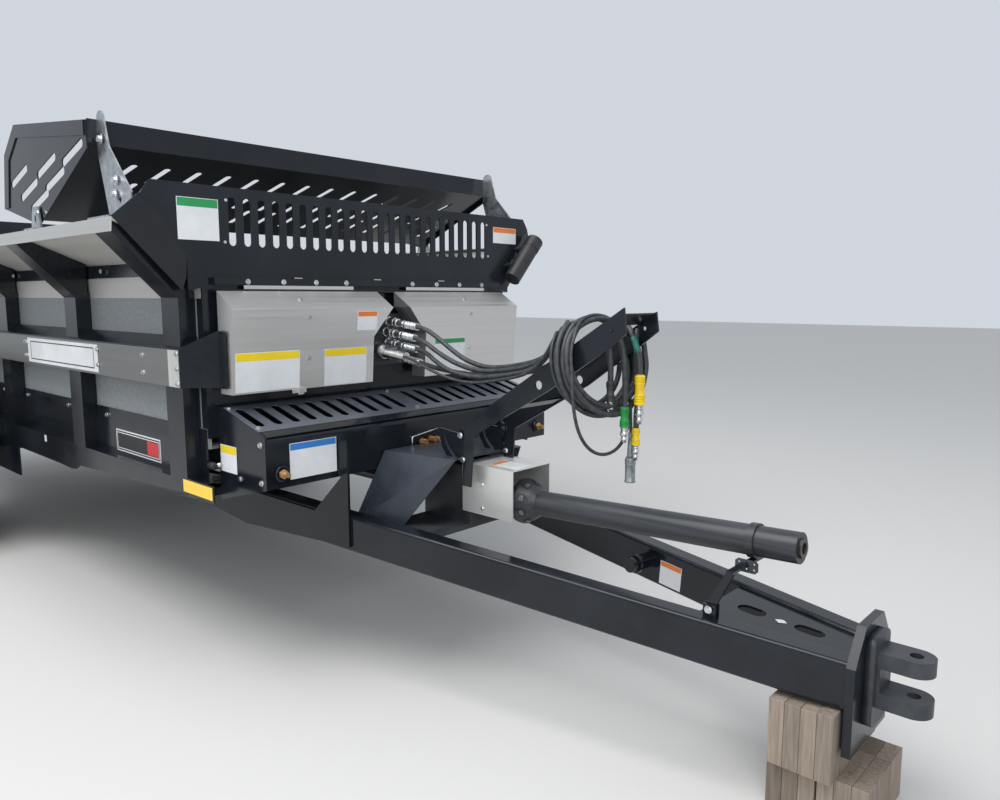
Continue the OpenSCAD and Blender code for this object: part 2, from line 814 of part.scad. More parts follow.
// A block with a level top and bottom, each wider at its rear
module guard_block(z0, z1, cut) {
    low = [[305 - cut, 381 - cut], [508 + cut, 300 - cut]];
    high = [[340 - cut, 250 - cut], [690 + cut, 190 - cut]];
    polyhedron([
        [low[0][0], -low[0][1], z0], [low[1][0], -low[1][1], z0],
        [low[1][0], low[1][1], z0], [low[0][0], low[0][1], z0],
        [high[0][0], -high[0][1], z1], [high[1][0], -high[1][1], z1],
        [high[1][0], high[1][1], z1], [high[0][0], high[0][1], z1]],
        [[0, 1, 2, 3], [4, 7, 6, 5], [0, 4, 5, 1], [1, 5, 6, 2], [2, 6, 7, 3], [3, 7, 4, 0]]);
}

module gearbox_guard() {
    color(ink) difference() {
        guard_block(guard_z, guard_top, 0);
        guard_block(guard_z - 1, guard_top - 4, 4);
    }
}

pto_x = 870;
pto_z = 687;
shield_low = 629;
shield_top = 824;
module pto_shield() {
    color(steel) difference() {
        box_at(645, -gearbox_half - 3 - seat, shield_low,
            [265, 2 * gearbox_half + 6 + 2 * seat, shield_top - shield_low]);
        box_at(640, -gearbox_half - seat, shield_low - 9,
            [275, 2 * gearbox_half + 2 * seat, shield_top - shield_low + 6]);
    }
}

line_z = 655;
line_r = 30;
module line_shaft() {
    color([0.3, 0.3, 0.32]) translate([beater_x + 90 + seat, 0, line_z]) rotate([0, 90, 0])
        cylinder(r = line_r, h = gearbox_x - beater_x - 90 - 2 * seat);
}

arm_t = 8;
// Each row: right face of the arm's plate, reach of its top corner, height of its foot
arms = [[-158, 1416, 745], [78, 1390, shield_top + seat]];
quad_x = 688;
quad_z = 943;
// Quadrants with a curved slot, on which the arms' tilt is set
module quadrant_outline() {
    difference() {
        union() {
            intersection() {
                translate([quad_x, quad_z]) circle(130);
                polygon([[quad_x, quad_z], [quad_x - 200, quad_z + 20],
                    [quad_x - 200, quad_z - 200], [quad_x + 20, quad_z - 200]]);
            }
            translate([quad_x, quad_z]) circle(22);
            translate([600, guard_top + seat]) square([90, 60]);
        }
        translate([quad_x, quad_z]) for (a = [188 : 3 : 242])
            rotate(a) translate([100, 0]) circle(6, $fn = 16);
        translate([0, 0]) square([2000, guard_top + seat]);
    }
}

module holder_plates() {
    color(ink) for (y = [arms[0][0] + arm_t + seat, arms[1][0] - arm_t - seat])
        plate_xz(y, arm_t) quadrant_outline();
}

arm_rise = 0.631;
function arm_top(x) = 987 + (x - 706) * arm_rise;
module arm_outline(tip, foot) {
    difference() {
        polygon([[693, foot], [736 + (foot - 745) / 12, foot], [753, 946], [1111, 1146], [tip - 56, 1303],
            [tip + 9, 1352], [tip, arm_top(tip)], [706, 987]]);
        translate([1070, 1164]) circle(16);
        translate([tip - 45, 1361]) circle(7);
    }
}

module hose_arms() {
    web = [1328, 1385];
    color(ink) {
        for (arm = arms)
            plate_xz(arm[0], arm_t) arm_outline(arm[1], arm[2]);
        plate_xz(arms[0][0] + 1, arms[1][0] - arms[0][0])
            polygon([[web[0], arm_top(web[0]) - 6], [web[1], arm_top(web[1]) - 6],
                [web[1], arm_top(web[1]) - 0.5], [web[0], arm_top(web[0]) - 0.5]]);
        plate_xz(arms[0][0] + 1, arms[1][0] - arms[0][0])
            polygon([[960, 1068], [1000, 1090], [997, 1096], [957, 1074]]);
    }
}

// The coil of hoses, which hangs over both arms
coil_y = (arms[0][0] + arms[1][0] + arm_t) / 2;
coil_back = 1165;
coil_front = 1230;
coil_in = 148;
coil_out = 186;
coil_mid = (coil_in + coil_out) / 2;
arm_corner = (arms[1][0] + arm_t - arms[0][0]) / 2;
coil_z = arm_top(coil_front) + seat - sqrt(coil_in * coil_in - arm_corner * arm_corner) + 1;
module hose_coil() {
    color([0.05, 0.05, 0.05]) translate([coil_back, coil_y, coil_z]) rotate([0, 90, 0])
        rotate_extrude($fn = 64)
            translate([coil_in, 0]) square([coil_out - coil_in, coil_front - coil_back]);
}

// Sweeps a tube of radius r along points, whose rings keep one side towards ref
function unit(v) = v / norm(v);
function heading(p, i) = i == 0 ? unit(p[1] - p[0]) :
    i == len(p) - 1 ? unit(p[i] - p[i - 1]) : unit(p[i + 1] - p[i - 1]);
module tube(p, r, ref) {
    sides = 8;
    rings = [for (i = [0 : len(p) - 1])
        let (t = heading(p, i), a = unit(cross(t, ref)), b = cross(t, a))
            for (k = [0 : sides - 1])
                p[i] + r * (cos(k * 45) * a + sin(k * 45) * b)];
    polyhedron(rings, concat([[for (k = [0 : sides - 1]) k]],
        [for (i = [0 : len(p) - 2]) for (k = [0 : sides - 1])
            [i * sides + k, (i + 1) * sides + k, (i + 1) * sides + (k + 1) % sides,
                i * sides + (k + 1) % sides]],
        [[for (k = [sides - 1 : -1 : 0]) (len(p) - 1) * sides + k]]));
}

// Routes of the hoses from their fittings to the coil, and from the coil to the couplers
route_1 = [[274, -3, 1340], [335, -3, 1326], [400, -2, 1296], [465, 0, 1258], [535, 0, 1222],
    [610, 0, 1199], [690, 0, 1190], [775, 0, 1198], [860, -2, 1220], [940, -8, 1252],
    [1010, -16, 1300], [1075, -28, 1358], [1125, -34, 1390], [1165, -36, 1398]];
route_2 = [[274, -19, 1294], [335, -20, 1278], [400, -22, 1248], [465, -24, 1220],
    [535, -26, 1198], [610, -27, 1183], [690, -28, 1178], [775, -30, 1186], [860, -32, 1206],
    [940, -38, 1240], [1010, -46, 1292], [1075, -56, 1352], [1125, -62, 1386],
    [1165, -64, 1396]];
route_3 = [[274, -9, 1246], [335, -12, 1232], [400, -28, 1208], [465, -44, 1184],
    [535, -52, 1166], [610, -54, 1157], [690, -55, 1156], [775, -56, 1166], [860, -58, 1190],
    [940, -64, 1228], [1010, -73, 1284], [1075, -83, 1346], [1125, -89, 1380],
    [1165, -91, 1391]];
route_4 = [[274, 13, 1186], [335, 16, 1174], [400, 22, 1164], [465, 26, 1158],
    [535, 27, 1154], [610, 27, 1152], [690, 27, 1155], [775, 27, 1168], [860, 26, 1192],
    [940, 20, 1230], [1010, 12, 1286], [1075, -1, 1350], [1125, -7, 1388], [1165, -9, 1397]];
route_c = [[274, -71, 1216], [335, -74, 1202], [400, -80, 1182], [465, -84, 1164],
    [535, -84, 1147], [610, -84, 1137], [690, -84, 1137], [775, -84, 1150], [860, -85, 1178],
    [940, -90, 1218], [1010, -98, 1272], [1075, -108, 1336], [1125, -114, 1368],
    [1165, -116, 1378]];
tail_1 = [[1230, 36, 1386], [1275, 36, 1380], [1315, 36, 1352], [1340, 36, 1310],
    [1353, 36, 1262], [1358, 36, 1206]];
tail_2 = [[1230, 58, 1374], [1270, 58, 1364], [1300, 58, 1334], [1318, 58, 1290],
    [1328, 58, 1220], [1332, 58, 1120], [1333, 58, 1017]];
tail_3 = [[1230, -12, 1398], [1270, -12, 1388], [1300, -12, 1356], [1318, -12, 1310],
    [1328, -12, 1250], [1331, -12, 1180], [1331, -12, 1098]];
tail_4 = [[1230, -40, 1400], [1260, -40, 1386], [1279, -40, 1350], [1287, -40, 1300],
    [1290, -40, 1240], [1290, -40, 1185]];
tail_c = [[1230, 12, 1396], [1258, 12, 1386], [1274, 16, 1352], [1280, 30, 1310],
    [1284, 52, 1262], [1290, 66, 1180], [1298, 72, 1090], [1303, 73, 996]];
// The cable's long turn, which hangs below the coil
slack_c = [[1230, -196, 1210], [1252, -204, 1180], [1256, -202, 1100], [1258, -184, 1030],
    [1262, -146, 972], [1268, -92, 934], [1276, -30, 922], [1282, 32, 938], [1280, 84, 984],
    [1270, 116, 1050], [1258, 128, 1120], [1246, 128, 1160], [1230, 124, 1180]];

module hose_1() {
    color([0.06, 0.06, 0.06]) for (p = [route_1, tail_1]) tube(p, hose_r, [0, 1, 0]);
}

module hose_2() {
    color([0.06, 0.06, 0.06]) for (p = [route_2, tail_2]) tube(p, hose_r, [0, 1, 0]);
}

module hose_3() {
    color([0.06, 0.06, 0.06]) for (p = [route_3, tail_3]) tube(p, hose_r, [0, 1, 0]);
}

module hose_4() {
    color([0.06, 0.06, 0.06]) for (p = [route_4, tail_4]) tube(p, hose_r, [0, 1, 0]);
}

module cable() {
    color([0.06, 0.06, 0.06]) {
        for (p = [route_c, tail_c]) tube(p, cable_r, [0, 1, 0]);
        tube(slack_c, cable_r, [1, 0, 0.3]);
    }
}

module couplers() {
    // Each row: end of the hose, length of the grip, reach of the steel tip
    rows = [[tail_1[5], 104, 170], [tail_2[6], 60, 114], [tail_3[6], 70, 123],
        [tail_4[5], 70, 123]];
    color([0.8, 0.65, 0.1]) for (row = rows)
        translate(row[0]) rotate([180, 0, 0]) {
            cylinder(r1 = 12, r2 = 13, h = row[1]);
            cylinder(r = 11, h = row[2]);
        }
}

module cable_plug() {
    color([0.5, 0.52, 0.54]) translate(tail_c[7]) rotate([180, 0, 0]) {
        cylinder(r1 = 8, r2 = 13, h = 92);
        translate([0, 0, 92]) cylinder(r = 20, h = 87);
    }
}

canister_r = 45;
module canister() {
    color([0.05, 0.05, 0.05]) translate([0, rim_half - 267, 1560]) rotate([-42.4, 0, 0]) {
        translate([canister_r + 8, 0, 0]) cylinder(r = canister_r - 2, h = 280);
        translate([canister_r + 8, 0, 215]) cylinder(r = canister_r, h = 60);
        for (z = [50, 170])
            box_at(0, -canister_r - 4, z, [30, 2 * canister_r + 8, 20]);
    }
}

spindle_r = 40;
module axle() {
    beam_half = sill_y + 15;
    color(ink) {
        box_at(axle_at - axle_s / 2, -beam_half, wheel_z - axle_s / 2,
            [axle_s, 2 * beam_half, axle_s]);
        both_sides() {
            box_at(axle_at - 150, -plate_in, wheel_z + axle_s / 2, [300, 60, 75]);
            rod_y(axle_at, -wheel_y - 40, wheel_z, spindle_r, wheel_y + 40 - beam_half);
        }
    }
}

post_top = 2050;
cylinder_x = gate_back - 60;
cylinder_y = 700;
cylinder_z = 960;
rod_r = 20;
ear_z = 1606;
post_shelf = 1100;
module rear_frame() {
    color(ink) {
        both_sides() {
            difference() {
                box_at(post_back, -sill_y, ledge_z + seat,
                    [post_front - post_back, sill_y - panel_in, post_top - ledge_z]);
                box_at(post_back - 1, -sill_y + sill_t, post_shelf,
                    [post_front - post_back - 20, sill_y - panel_in - 2 * sill_t,
                        post_top - post_shelf - 20]);
            }
            box_at(gate_x + move_gap, -board_y - 1, sill_top,
                [lip_t, lip_in + 1, post_top - sill_top]);
            box_at(gate_back - move_gap - lip_t, -board_y - 1, sill_top,
                [lip_t, lip_in + 1, post_top - sill_top]);
            box_at(rear_x, -sill_y, ledge_z + seat, [post_back - rear_x, plate_t,
                beater_top + 60 - ledge_z]);
            box_at(cylinder_x - 38, -sill_y, cylinder_z - 30,
                [76, sill_y - cylinder_y + 36, 30 - seat]);
        }
        difference() {
            box_at(beater_x - 70, -sill_y, beater_top + 60, [140, 2 * sill_y, 120]);
            both_sides() translate([beater_x, -beater_y, beater_top])
                cylinder(r = 30 + fit, h = 300);
        }
    }
}

module beater_pan() {
    color(ink) difference() {
        box_at(rear_x, -plate_in, sill_top, [post_back - 90 - rear_x, 2 * plate_in, pan_t]);
        both_sides() translate([beater_x, -beater_y, sill_top])
            cylinder(r = 46, h = 60);
    }
}

module rear_gearboxes() {
    color([0.2, 0.2, 0.22]) {
        both_sides() translate([beater_x, -beater_y, 0]) {
            translate([-110, -110, 560]) cube([220, 220, 260]);
            translate([0, 0, 820]) cylinder(r = 90, h = sill_top - 820 - seat);
            translate([0, 0, 880]) cylinder(r = 40, h = beater_foot - 880 - seat);
        }
        box_at(beater_x - 90, -90, line_z - 90, [180, 180, 180]);
        rod_y(beater_x, -beater_y, line_z, 45, 2 * beater_y);
    }
}

module gate_cylinders() {
    color(ink) both_sides() translate([cylinder_x, -cylinder_y, cylinder_z])
        difference() {
            cylinder(r = 32, h = 640);
            translate([0, 0, 10]) cylinder(r = rod_r + seat, h = 700);
        }
}

module tail_lamps() {
    color([0.7, 0.1, 0.1]) both_sides()
        box_at(rear_x - lamp_t, -sill_y, 760, [lamp_t, 110, 70]);
}

module tyre(side) {
    color([0.06, 0.06, 0.07]) translate([axle_at, side * wheel_y, wheel_z])
        rotate([90, 0, 0]) rotate_extrude($fn = 72)
            polygon([[rim_d / 2, -150], [tyre_d / 2 - 70, -tyre_w / 2],
                [tyre_d / 2 - 20, -tyre_w / 2 + 20], [tyre_d / 2, -tyre_w / 2 + 60],
                [tyre_d / 2, tyre_w / 2 - 60], [tyre_d / 2 - 20, tyre_w / 2 - 20],
                [tyre_d / 2 - 70, tyre_w / 2], [rim_d / 2, 150]]);
}

hub_r = 110;
module rim(side) {
    holes = 10;
    color([0.75, 0.75, 0.75]) translate([axle_at, side * wheel_y, wheel_z])
        rotate([side * 90, 0, 0]) difference() {
            rotate_extrude($fn = 72)
                polygon([[spindle_r + fit, -30], [spindle_r + fit, 48], [hub_r, 40],
                    [hub_r + 10, 12], [rim_d / 2 - 62, 12], [rim_d / 2 - 20, 40],
                    [rim_d / 2 - 20, 150], [rim_d / 2, 150], [rim_d / 2, -150],
                    [rim_d / 2 - 20, -150], [rim_d / 2 - 20, -30], [rim_d / 2 - 34, -2],
                    [hub_r + 10, -2], [hub_r, -30]]);
            for (i = [0 : holes - 1])
                rotate(i * 360 / holes) translate([175, 0, -20]) cylinder(r = 22, h = 60);
        }
}

// A flight that winds round the beater's tube, as one ribbon of equal steps
module flight(turns, hand) {
    steps = ceil(turns * 36);
    band = 10;
    inner = beater_tube_r - 3;
    corners = [[inner, 0], [flight_r, 0], [flight_r, band], [inner, band]];
    ribs = [for (i = [0 : steps]) for (c = corners)
        let (a = 360 * turns * i / steps)
            [c[0] * cos(a), c[0] * sin(a), flight_pitch * turns * i / steps + c[1]]];
    sides = [for (i = [0 : steps - 1]) for (k = [0 : 3])
        let (a = i * 4 + k, b = i * 4 + (k + 1) % 4)
            for (face = [[a, b + 4, a + 4], [a, b, b + 4]]) face];
    mirror([0, hand < 0 ? 1 : 0, 0])
        polyhedron(ribs, concat([[0, 2, 1], [0, 3, 2]], sides,
            [[steps * 4, steps * 4 + 1, steps * 4 + 2], [steps * 4, steps * 4 + 2, steps * 4 + 3]]));
}

module beater(side) {
    flight_z = beater_foot + 150;
    turns = (beater_top - 40 - flight_z) / flight_pitch;
    knives = floor(turns * 8);
    color([0.35, 0.1, 0.08]) translate([beater_x, side * beater_y, 0]) {
        translate([0, 0, beater_foot]) cylinder(r = beater_tube_r, h = beater_h);
        translate([0, 0, beater_top - 1]) cylinder(r = 30, h = 160);
        translate([0, 0, beater_foot]) cylinder(r = 260, h = 10);
        for (a = [0 : 90 : 270])
            rotate(a) {
                box_at(60, -5, beater_foot + 10, [beater_r - 62, 10, 90]);
                box_at(150, -28, beater_foot + 10, [90, 56, 12]);
            }
        translate([0, 0, flight_z]) flight(turns, side);
        for (i = [1 : knives])
            rotate(side * 45 * i)
                translate([flight_r - 30, -side * 22 - 20, flight_z + flight_pitch * i / 8 - 6])
                    cube([60, 40, 22]);
    }
}

module end_gate() {
    color(ink) {
        box_at(gate_x - 6, -wall_y - 2, deck_z + slat_h + 6, [6, box_w + 4, 700]);
        for (z = [0, 330, 660])
            box_at(gate_back, -wall_y + 60, deck_z + slat_h + 6 + z,
                [gate_t - 6, box_w - 120, 40]);
        both_sides() box_at(cylinder_x - 40, -cylinder_y - 30, ear_z, [100, 60, 14]);
    }
}

module gate_rods() {
    color(steel) both_sides() translate([cylinder_x, -cylinder_y, cylinder_z + 15])
        cylinder(r = rod_r, h = ear_z - cylinder_z - 15);
}

ball_r = 22;
ring_r = 54;
fork_back = 42;
module pto_guard() {
    color([0.2, 0.21, 0.22]) translate([pto_x, 0, pto_z]) rotate([0, 90 - pto_tilt, 0])
        rotate_extrude($fn = 64)
            polygon([[85, 0], [87, 20], [60, 70], [guard_r, 90], [guard_r, pto_l - 155],
                [ring_r, pto_l - 155], [ring_r, pto_l - 130],
                [guard_r, pto_l - 130], [guard_r, pto_l], [30 + fit, pto_l],
                [30 + fit, pto_l - 30], [guard_r - 5, pto_l - 30], [guard_r - 5, 110],
                [30 + fit, 110], [30 + fit, 80], [56, 60], [81, 16], [81, 0]]);
}

module pto_shaft() {
    color([0.4, 0.4, 0.4]) translate([pto_x, 0, pto_z]) rotate([0, 90 - pto_tilt, 0])
        difference() {
            union() {
                translate([0, 0, fork_back]) cylinder(r = 30, h = pto_l + 8 - fork_back);
                cylinder(r = 14, h = fork_back);
                sphere(r = ball_r);
            }
            translate([0, 0, pto_l - 60]) cylinder(d = pto_bore, h = 80);
        }
}

saddle_x = pto_x + (pto_l - 142) * cos(pto_tilt);
saddle_z = pto_z + (saddle_x - pto_x) * tan(pto_tilt) - ring_r / cos(pto_tilt) - 1.2;
module pto_rest() {
    color([0.3, 0.3, 0.32]) {
        difference() {
            plate_xz(rest_y - 7, 14)
                polygon([[rest_x - 14, rest_z - 14], [rest_x + 14, rest_z - 14],
                    [rest_x + 16, rest_z + 10], [saddle_x + 12, saddle_z - 8],
                    [saddle_x - 12, saddle_z - 8], [rest_x - 16, rest_z + 10]]);
            rod_y(rest_x, rest_y - 20, rest_z, rest_pin_r + fit, 40);
        }
        box_at(saddle_x - 12, rest_y - 7, saddle_z - 8, [24, 60 - rest_y + 7, 8]);
    }
}

in_frame() {
    frame();
    tongue();
    gussets();
    hitch_clevis();
    support_blocks();
    deck();
    apron();
    apron_shafts();
    side_boards();
    stakes();
    shelves();
    rim_rails();
    front_wall();
    hood();
    hood_brackets();
    apron_housing();
    slotted_cover();
    take_ups();
    cover_right();
    cover_left();
    gearbox();
    gearbox_guard();
    pto_shield();
    line_shaft();
    holder_plates();
    hose_arms();
    canister();
    axle();
    rear_frame();
    beater_pan();
    rear_gearboxes();
    gate_cylinders();
    tail_lamps();
    tyre(-1);  // wheel_right_tyre
    rim(-1);  // wheel_right_rim
    tyre(1);  // wheel_left_tyre
    rim(1);  // wheel_left_rim
    beater(-1);  // beater_right
    beater(1);  // beater_left
    end_gate();
    gate_rods();
    pto_guard();
    pto_shaft();
    pto_rest();
    cross_members();
    slats();
    flare_sheets();
    shelf_plates();
    hose_bulkhead();
    hose_1();
    hose_2();
    hose_3();
    hose_4();
    cable();
    hose_coil();
    couplers();
    cable_plug();
}
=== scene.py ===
# %% [markdown]
# # A towed manure spreader
# The machine comes in as a fixed frame of solids, already at its real size and place.
# This lesson dresses it: each cell makes one finish or one set of small pieces.
# The frame never moves, so every piece is placed by the machine's own measures.

# %% Load the frame
import math
import json
import bpy
import bmesh
import numpy as np
from mathutils import Vector, Matrix


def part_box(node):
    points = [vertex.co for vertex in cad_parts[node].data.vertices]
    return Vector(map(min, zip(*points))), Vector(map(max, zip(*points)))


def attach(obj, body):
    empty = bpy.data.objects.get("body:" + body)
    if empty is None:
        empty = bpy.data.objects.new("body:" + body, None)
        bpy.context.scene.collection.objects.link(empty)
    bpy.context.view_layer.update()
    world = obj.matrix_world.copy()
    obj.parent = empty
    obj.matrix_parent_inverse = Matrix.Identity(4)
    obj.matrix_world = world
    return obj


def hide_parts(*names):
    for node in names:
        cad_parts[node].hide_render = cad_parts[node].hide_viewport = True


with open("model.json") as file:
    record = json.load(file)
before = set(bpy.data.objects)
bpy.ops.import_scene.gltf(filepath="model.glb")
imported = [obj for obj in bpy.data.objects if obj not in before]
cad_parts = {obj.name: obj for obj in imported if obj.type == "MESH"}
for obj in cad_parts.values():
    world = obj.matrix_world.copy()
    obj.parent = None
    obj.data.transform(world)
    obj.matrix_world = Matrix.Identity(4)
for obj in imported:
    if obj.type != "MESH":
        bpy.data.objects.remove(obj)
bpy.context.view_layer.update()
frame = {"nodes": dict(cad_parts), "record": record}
scene = bpy.context.scene

# %% [markdown]
# The machine was drawn in millimetres from the front wall's face. One helper turns such
# a place into metres in the frame, so that the tables below can be read beside a drawing
# of the machine. Another puts an object in the scene.

# %% Places
SHIFT = 1427.0
# The wheels' centres: ahead, across and up
WHEEL_X, WHEEL_Y, WHEEL_Z = -2860, 1145, 560


def spot(x, y, z):
    return Vector(((x + SHIFT) / 1000, y / 1000, z / 1000))


def add_object(name, data):
    obj = bpy.data.objects.new(name, data)
    scene.collection.objects.link(obj)
    return obj


print("front wall at x =", spot(0, 0, 0).x)

# %% [markdown]
# A camera repeats the view of the photograph: a short lens a little above the waist,
# close to the hitch, so that the tongue looks long and the box falls away behind it.

# %% Camera
CAMERA_PLACE = (4.227, -2.250, 1.470)
CAMERA_DOWN = 7.52
CAMERA_TURN = 42.4
CAMERA_LENS = 28.26

camera_data = bpy.data.cameras.new("camera")
camera_data.lens = CAMERA_LENS
camera_data.sensor_width = 36.0
camera_data.clip_end = 200.0
camera = add_object("camera", camera_data)
camera.location = CAMERA_PLACE
camera.rotation_euler = (math.radians(90 - CAMERA_DOWN), 0.0, math.radians(CAMERA_TURN))
scene.camera = camera
bpy.context.view_layer.update()

# %% [markdown]
# Four hydraulic hoses and one electric cable leave the bulkhead, sag over the drive,
# wind round the holder and hang down with their couplers. A drawn spline could fake
# that, but hoses have thickness and push each other aside. So each hose first gets a
# plain route: its way to the holder, its turns in a lane of its own, and its tail.

# %% Routes of the hoses, in machine millimetres
COIL_X, COIL_Y = 1205.0, -36.0
LEAN, SPREAD, YAW = 46.0, 0.9, 32.0
HOSE_R, CABLE_R = 10.0, 6.0
INTO_GRIP = 60.0
# How far ahead of the wall the routes have their points
STATIONS = (274, 335, 400, 465, 535, 610, 690, 775, 860, 940, 1010, 1064, 1102, 1138)
# Each route to the holder: places across and heights at the stations
ROUTES = {
    "hose_1": ((-3, -3, -2, 0, 0, 0, 0, 0, -2, -8, -16, -26, -32, -36),
               (1340, 1326, 1296, 1258, 1222, 1199, 1190, 1198, 1213, 1230, 1262, 1310, 1358,
                1392)),
    "hose_2": ((-19, -20, -22, -24, -26, -27, -28, -30, -32, -38, -46, -54, -60, -64),
               (1294, 1278, 1248, 1220, 1198, 1183, 1178, 1186, 1199, 1216, 1248, 1298, 1350,
                1388)),
    "hose_3": ((-9, -12, -28, -44, -52, -54, -55, -56, -58, -62, -70, -80, -86, -92),
               (1246, 1232, 1208, 1184, 1166, 1157, 1156, 1166, 1180, 1194, 1226, 1280, 1338,
                1380)),
    "hose_4": ((13, 16, 22, 26, 27, 27, 27, 27, 24, 18, 10, 0, -8, -12),
               (1186, 1174, 1164, 1158, 1154, 1152, 1155, 1168, 1182, 1197, 1230, 1284, 1342,
                1386)),
    "cable": ((-71, -74, -80, -84, -84, -84, -84, -84, -86, -90, -98, -106, -112, -118),
              (1216, 1202, 1182, 1164, 1147, 1137, 1137, 1150, 1166, 1182, 1216, 1270, 1328,
               1366)),
}
# Each tail: points from the holder down to the coupler
TAILS = {
    "hose_1": [(1262, 85, 1362), (1275, 55, 1384), (1302, 40, 1374), (1326, 36, 1345),
               (1343, 36, 1304), (1353, 36, 1258), (1358, 36, 1206)],
    "hose_2": [(1318, 136, 1210), (1310, 142, 1270), (1304, 138, 1326), (1303, 116, 1368),
               (1309, 86, 1378), (1320, 62, 1350), (1327, 54, 1296), (1331, 56, 1210),
               (1333, 58, 1105), (1333, 58, 1017)],
    "hose_3": [(1270, -12, 1388), (1300, -12, 1356), (1318, -12, 1310), (1328, -12, 1250),
               (1331, -12, 1180), (1331, -12, 1098)],
    "hose_4": [(1262, 10, 1386), (1264, -22, 1378), (1272, -40, 1350), (1282, -44, 1308),
               (1289, -41, 1262), (1290, -40, 1225), (1290, -40, 1185)],
    "cable": [(1270, 55, 1374), (1264, 22, 1380), (1268, -4, 1358), (1276, 2, 1322),
              (1282, 24, 1282), (1287, 48, 1232), (1293, 64, 1170), (1299, 71, 1090),
              (1303, 73, 996)],
}
# The cable's long turn, which hangs below the others
SLACK = [(1248, -202, 1170), (1256, -202, 1100), (1258, -184, 1030), (1262, -146, 972),
         (1268, -92, 934), (1276, -30, 922), (1282, 32, 938), (1280, 84, 984),
         (1270, 116, 1050), (1258, 128, 1120), (1246, 128, 1160)]
# Each row: first angle, last angle, lane at the first (x, radius, top), lane at the last
TURNS = {
    "hose_1": [(38, 660, (1197, 158, 1394), (1218, 172, 1413))],
    "hose_2": [(38, 600, (1199, 178, 1413), (1240, 166, 1398))],
    "hose_3": [(44, 314, (1176, 152, 1394), (1180, 160, 1396))],
    "hose_4": [(32, 322, (1220, 154, 1396), (1238, 150, 1396))],
    "cable": [(50, 452, (1172, 168, 1410), (1234, 162, 1408)),
              (258, 308, (1240, 170, 1404), (1246, 170, 1404))],
}


def turn_points(first, last, lane_a, lane_b, step=15):
    """Points round the holder, from one lane to another; angle 0 is the top."""
    points = []
    count = max(2, round((last - first) / step))
    for i in range(count + 1):
        share = i / count
        x, radius, top = [a + (b - a) * share for a, b in zip(lane_a, lane_b)]
        angle = math.radians(first + (last - first) * share)
        low = (1 - math.cos(angle)) / 2
        points.append((x + low * (LEAN + SPREAD * (x - COIL_X)) - YAW * math.sin(angle),
                       COIL_Y - radius * math.sin(angle),
                       top - radius + radius * math.cos(angle)))
    return points


rough = {}
for name, (across, heights) in ROUTES.items():
    line = list(zip(STATIONS, across, heights)) + turn_points(*TURNS[name][0])
    if name == "cable":
        line += SLACK + turn_points(*TURNS[name][1])
    x, y, z = TAILS[name][-1]
    rough[name] = line + TAILS[name] + [(x, y, z - 30), (x, y, z - INTO_GRIP)]
    print(name, "has", len(rough[name]), "points by hand")

# %% [markdown]
# A smooth curve is then laid through the points, and the hoses are settled: where two
# of them are closer than their radii allow, both are pushed apart a little, and each
# stays as smooth and as near its route as it can. Forty lines of arithmetic replace a
# simulation, and they give the same knot each time.

# %% Smooth and settle the hoses
STEP = 15.0


def smooth_line(points, step):
    """Points at even steps along a curve through the given points."""
    points = np.array(points, float)
    ends = np.vstack([2 * points[0] - points[1], points, 2 * points[-1] - points[-2]])
    fine = []
    for a, b, c, d in zip(ends[:-3], ends[1:-2], ends[2:-1], ends[3:]):
        for t in np.linspace(0, 1, 12, endpoint=False):
            fine.append(0.5 * (2 * b + (c - a) * t + (2 * a - 5 * b + 4 * c - d) * t * t
                               + (3 * b - a - 3 * c + d) * t ** 3))
    fine = np.array(fine + [points[-1]])
    run = np.concatenate([[0], np.cumsum(np.linalg.norm(np.diff(fine, axis=0), axis=1))])
    even = np.linspace(0, run[-1], max(2, round(run[-1] / step)) + 1)
    return np.stack([np.interp(even, run, fine[:, k]) for k in range(3)], axis=1)


def settle(lines, radii, rounds=140, gap_left=0.6, near=5, held_ends=9, shove=0.4,
           smooth=0.18, pull=0.015):
    """Pushes lines apart by their radii, and keeps them smooth and near their routes.

    near is how many steps along one line don't count as a meeting; shove, smooth and
    pull say how much of each move is made in a round."""
    sizes = [len(line) for line in lines]
    place = np.vstack(lines)
    route = place.copy()
    owner = np.repeat(np.arange(len(lines)), sizes)
    along = np.concatenate([np.arange(n) for n in sizes])
    radius = np.repeat(radii, sizes)
    held = np.concatenate([(np.arange(n) <= held_ends) | (np.arange(n) > n - held_ends)
                           for n in sizes])
    need = radius[:, None] + radius[None] + gap_left
    apart = (owner[:, None] != owner[None]) | (np.abs(along[:, None] - along[None]) > near)
    for _ in range(rounds):
        gap = place[:, None] - place[None]
        far = np.linalg.norm(gap, axis=2) + 1e-9
        over = np.where(apart, np.maximum(need - far, 0), 0)
        push = (gap / far[..., None] * over[..., None]).sum(1) * shove
        middle = place.copy()
        inner = (along[1:-1] > 0) & (along[2:] > 0)
        middle[1:-1][inner] = (place[:-2][inner] + place[2:][inner]) / 2
        place = place + push + smooth * (middle - place) + pull * (route - place)
        place[held] = route[held]
    return np.split(place, np.cumsum(sizes)[:-1])


names = list(rough)
radii = [CABLE_R if name == "cable" else HOSE_R for name in names]
settled = settle([smooth_line(rough[name], STEP) for name in names], radii)
cord_lines = {name: [spot(*p) for p in line] for name, line in zip(names, settled)}
cord_radius = {name: r / 1000 for name, r in zip(names, radii)}
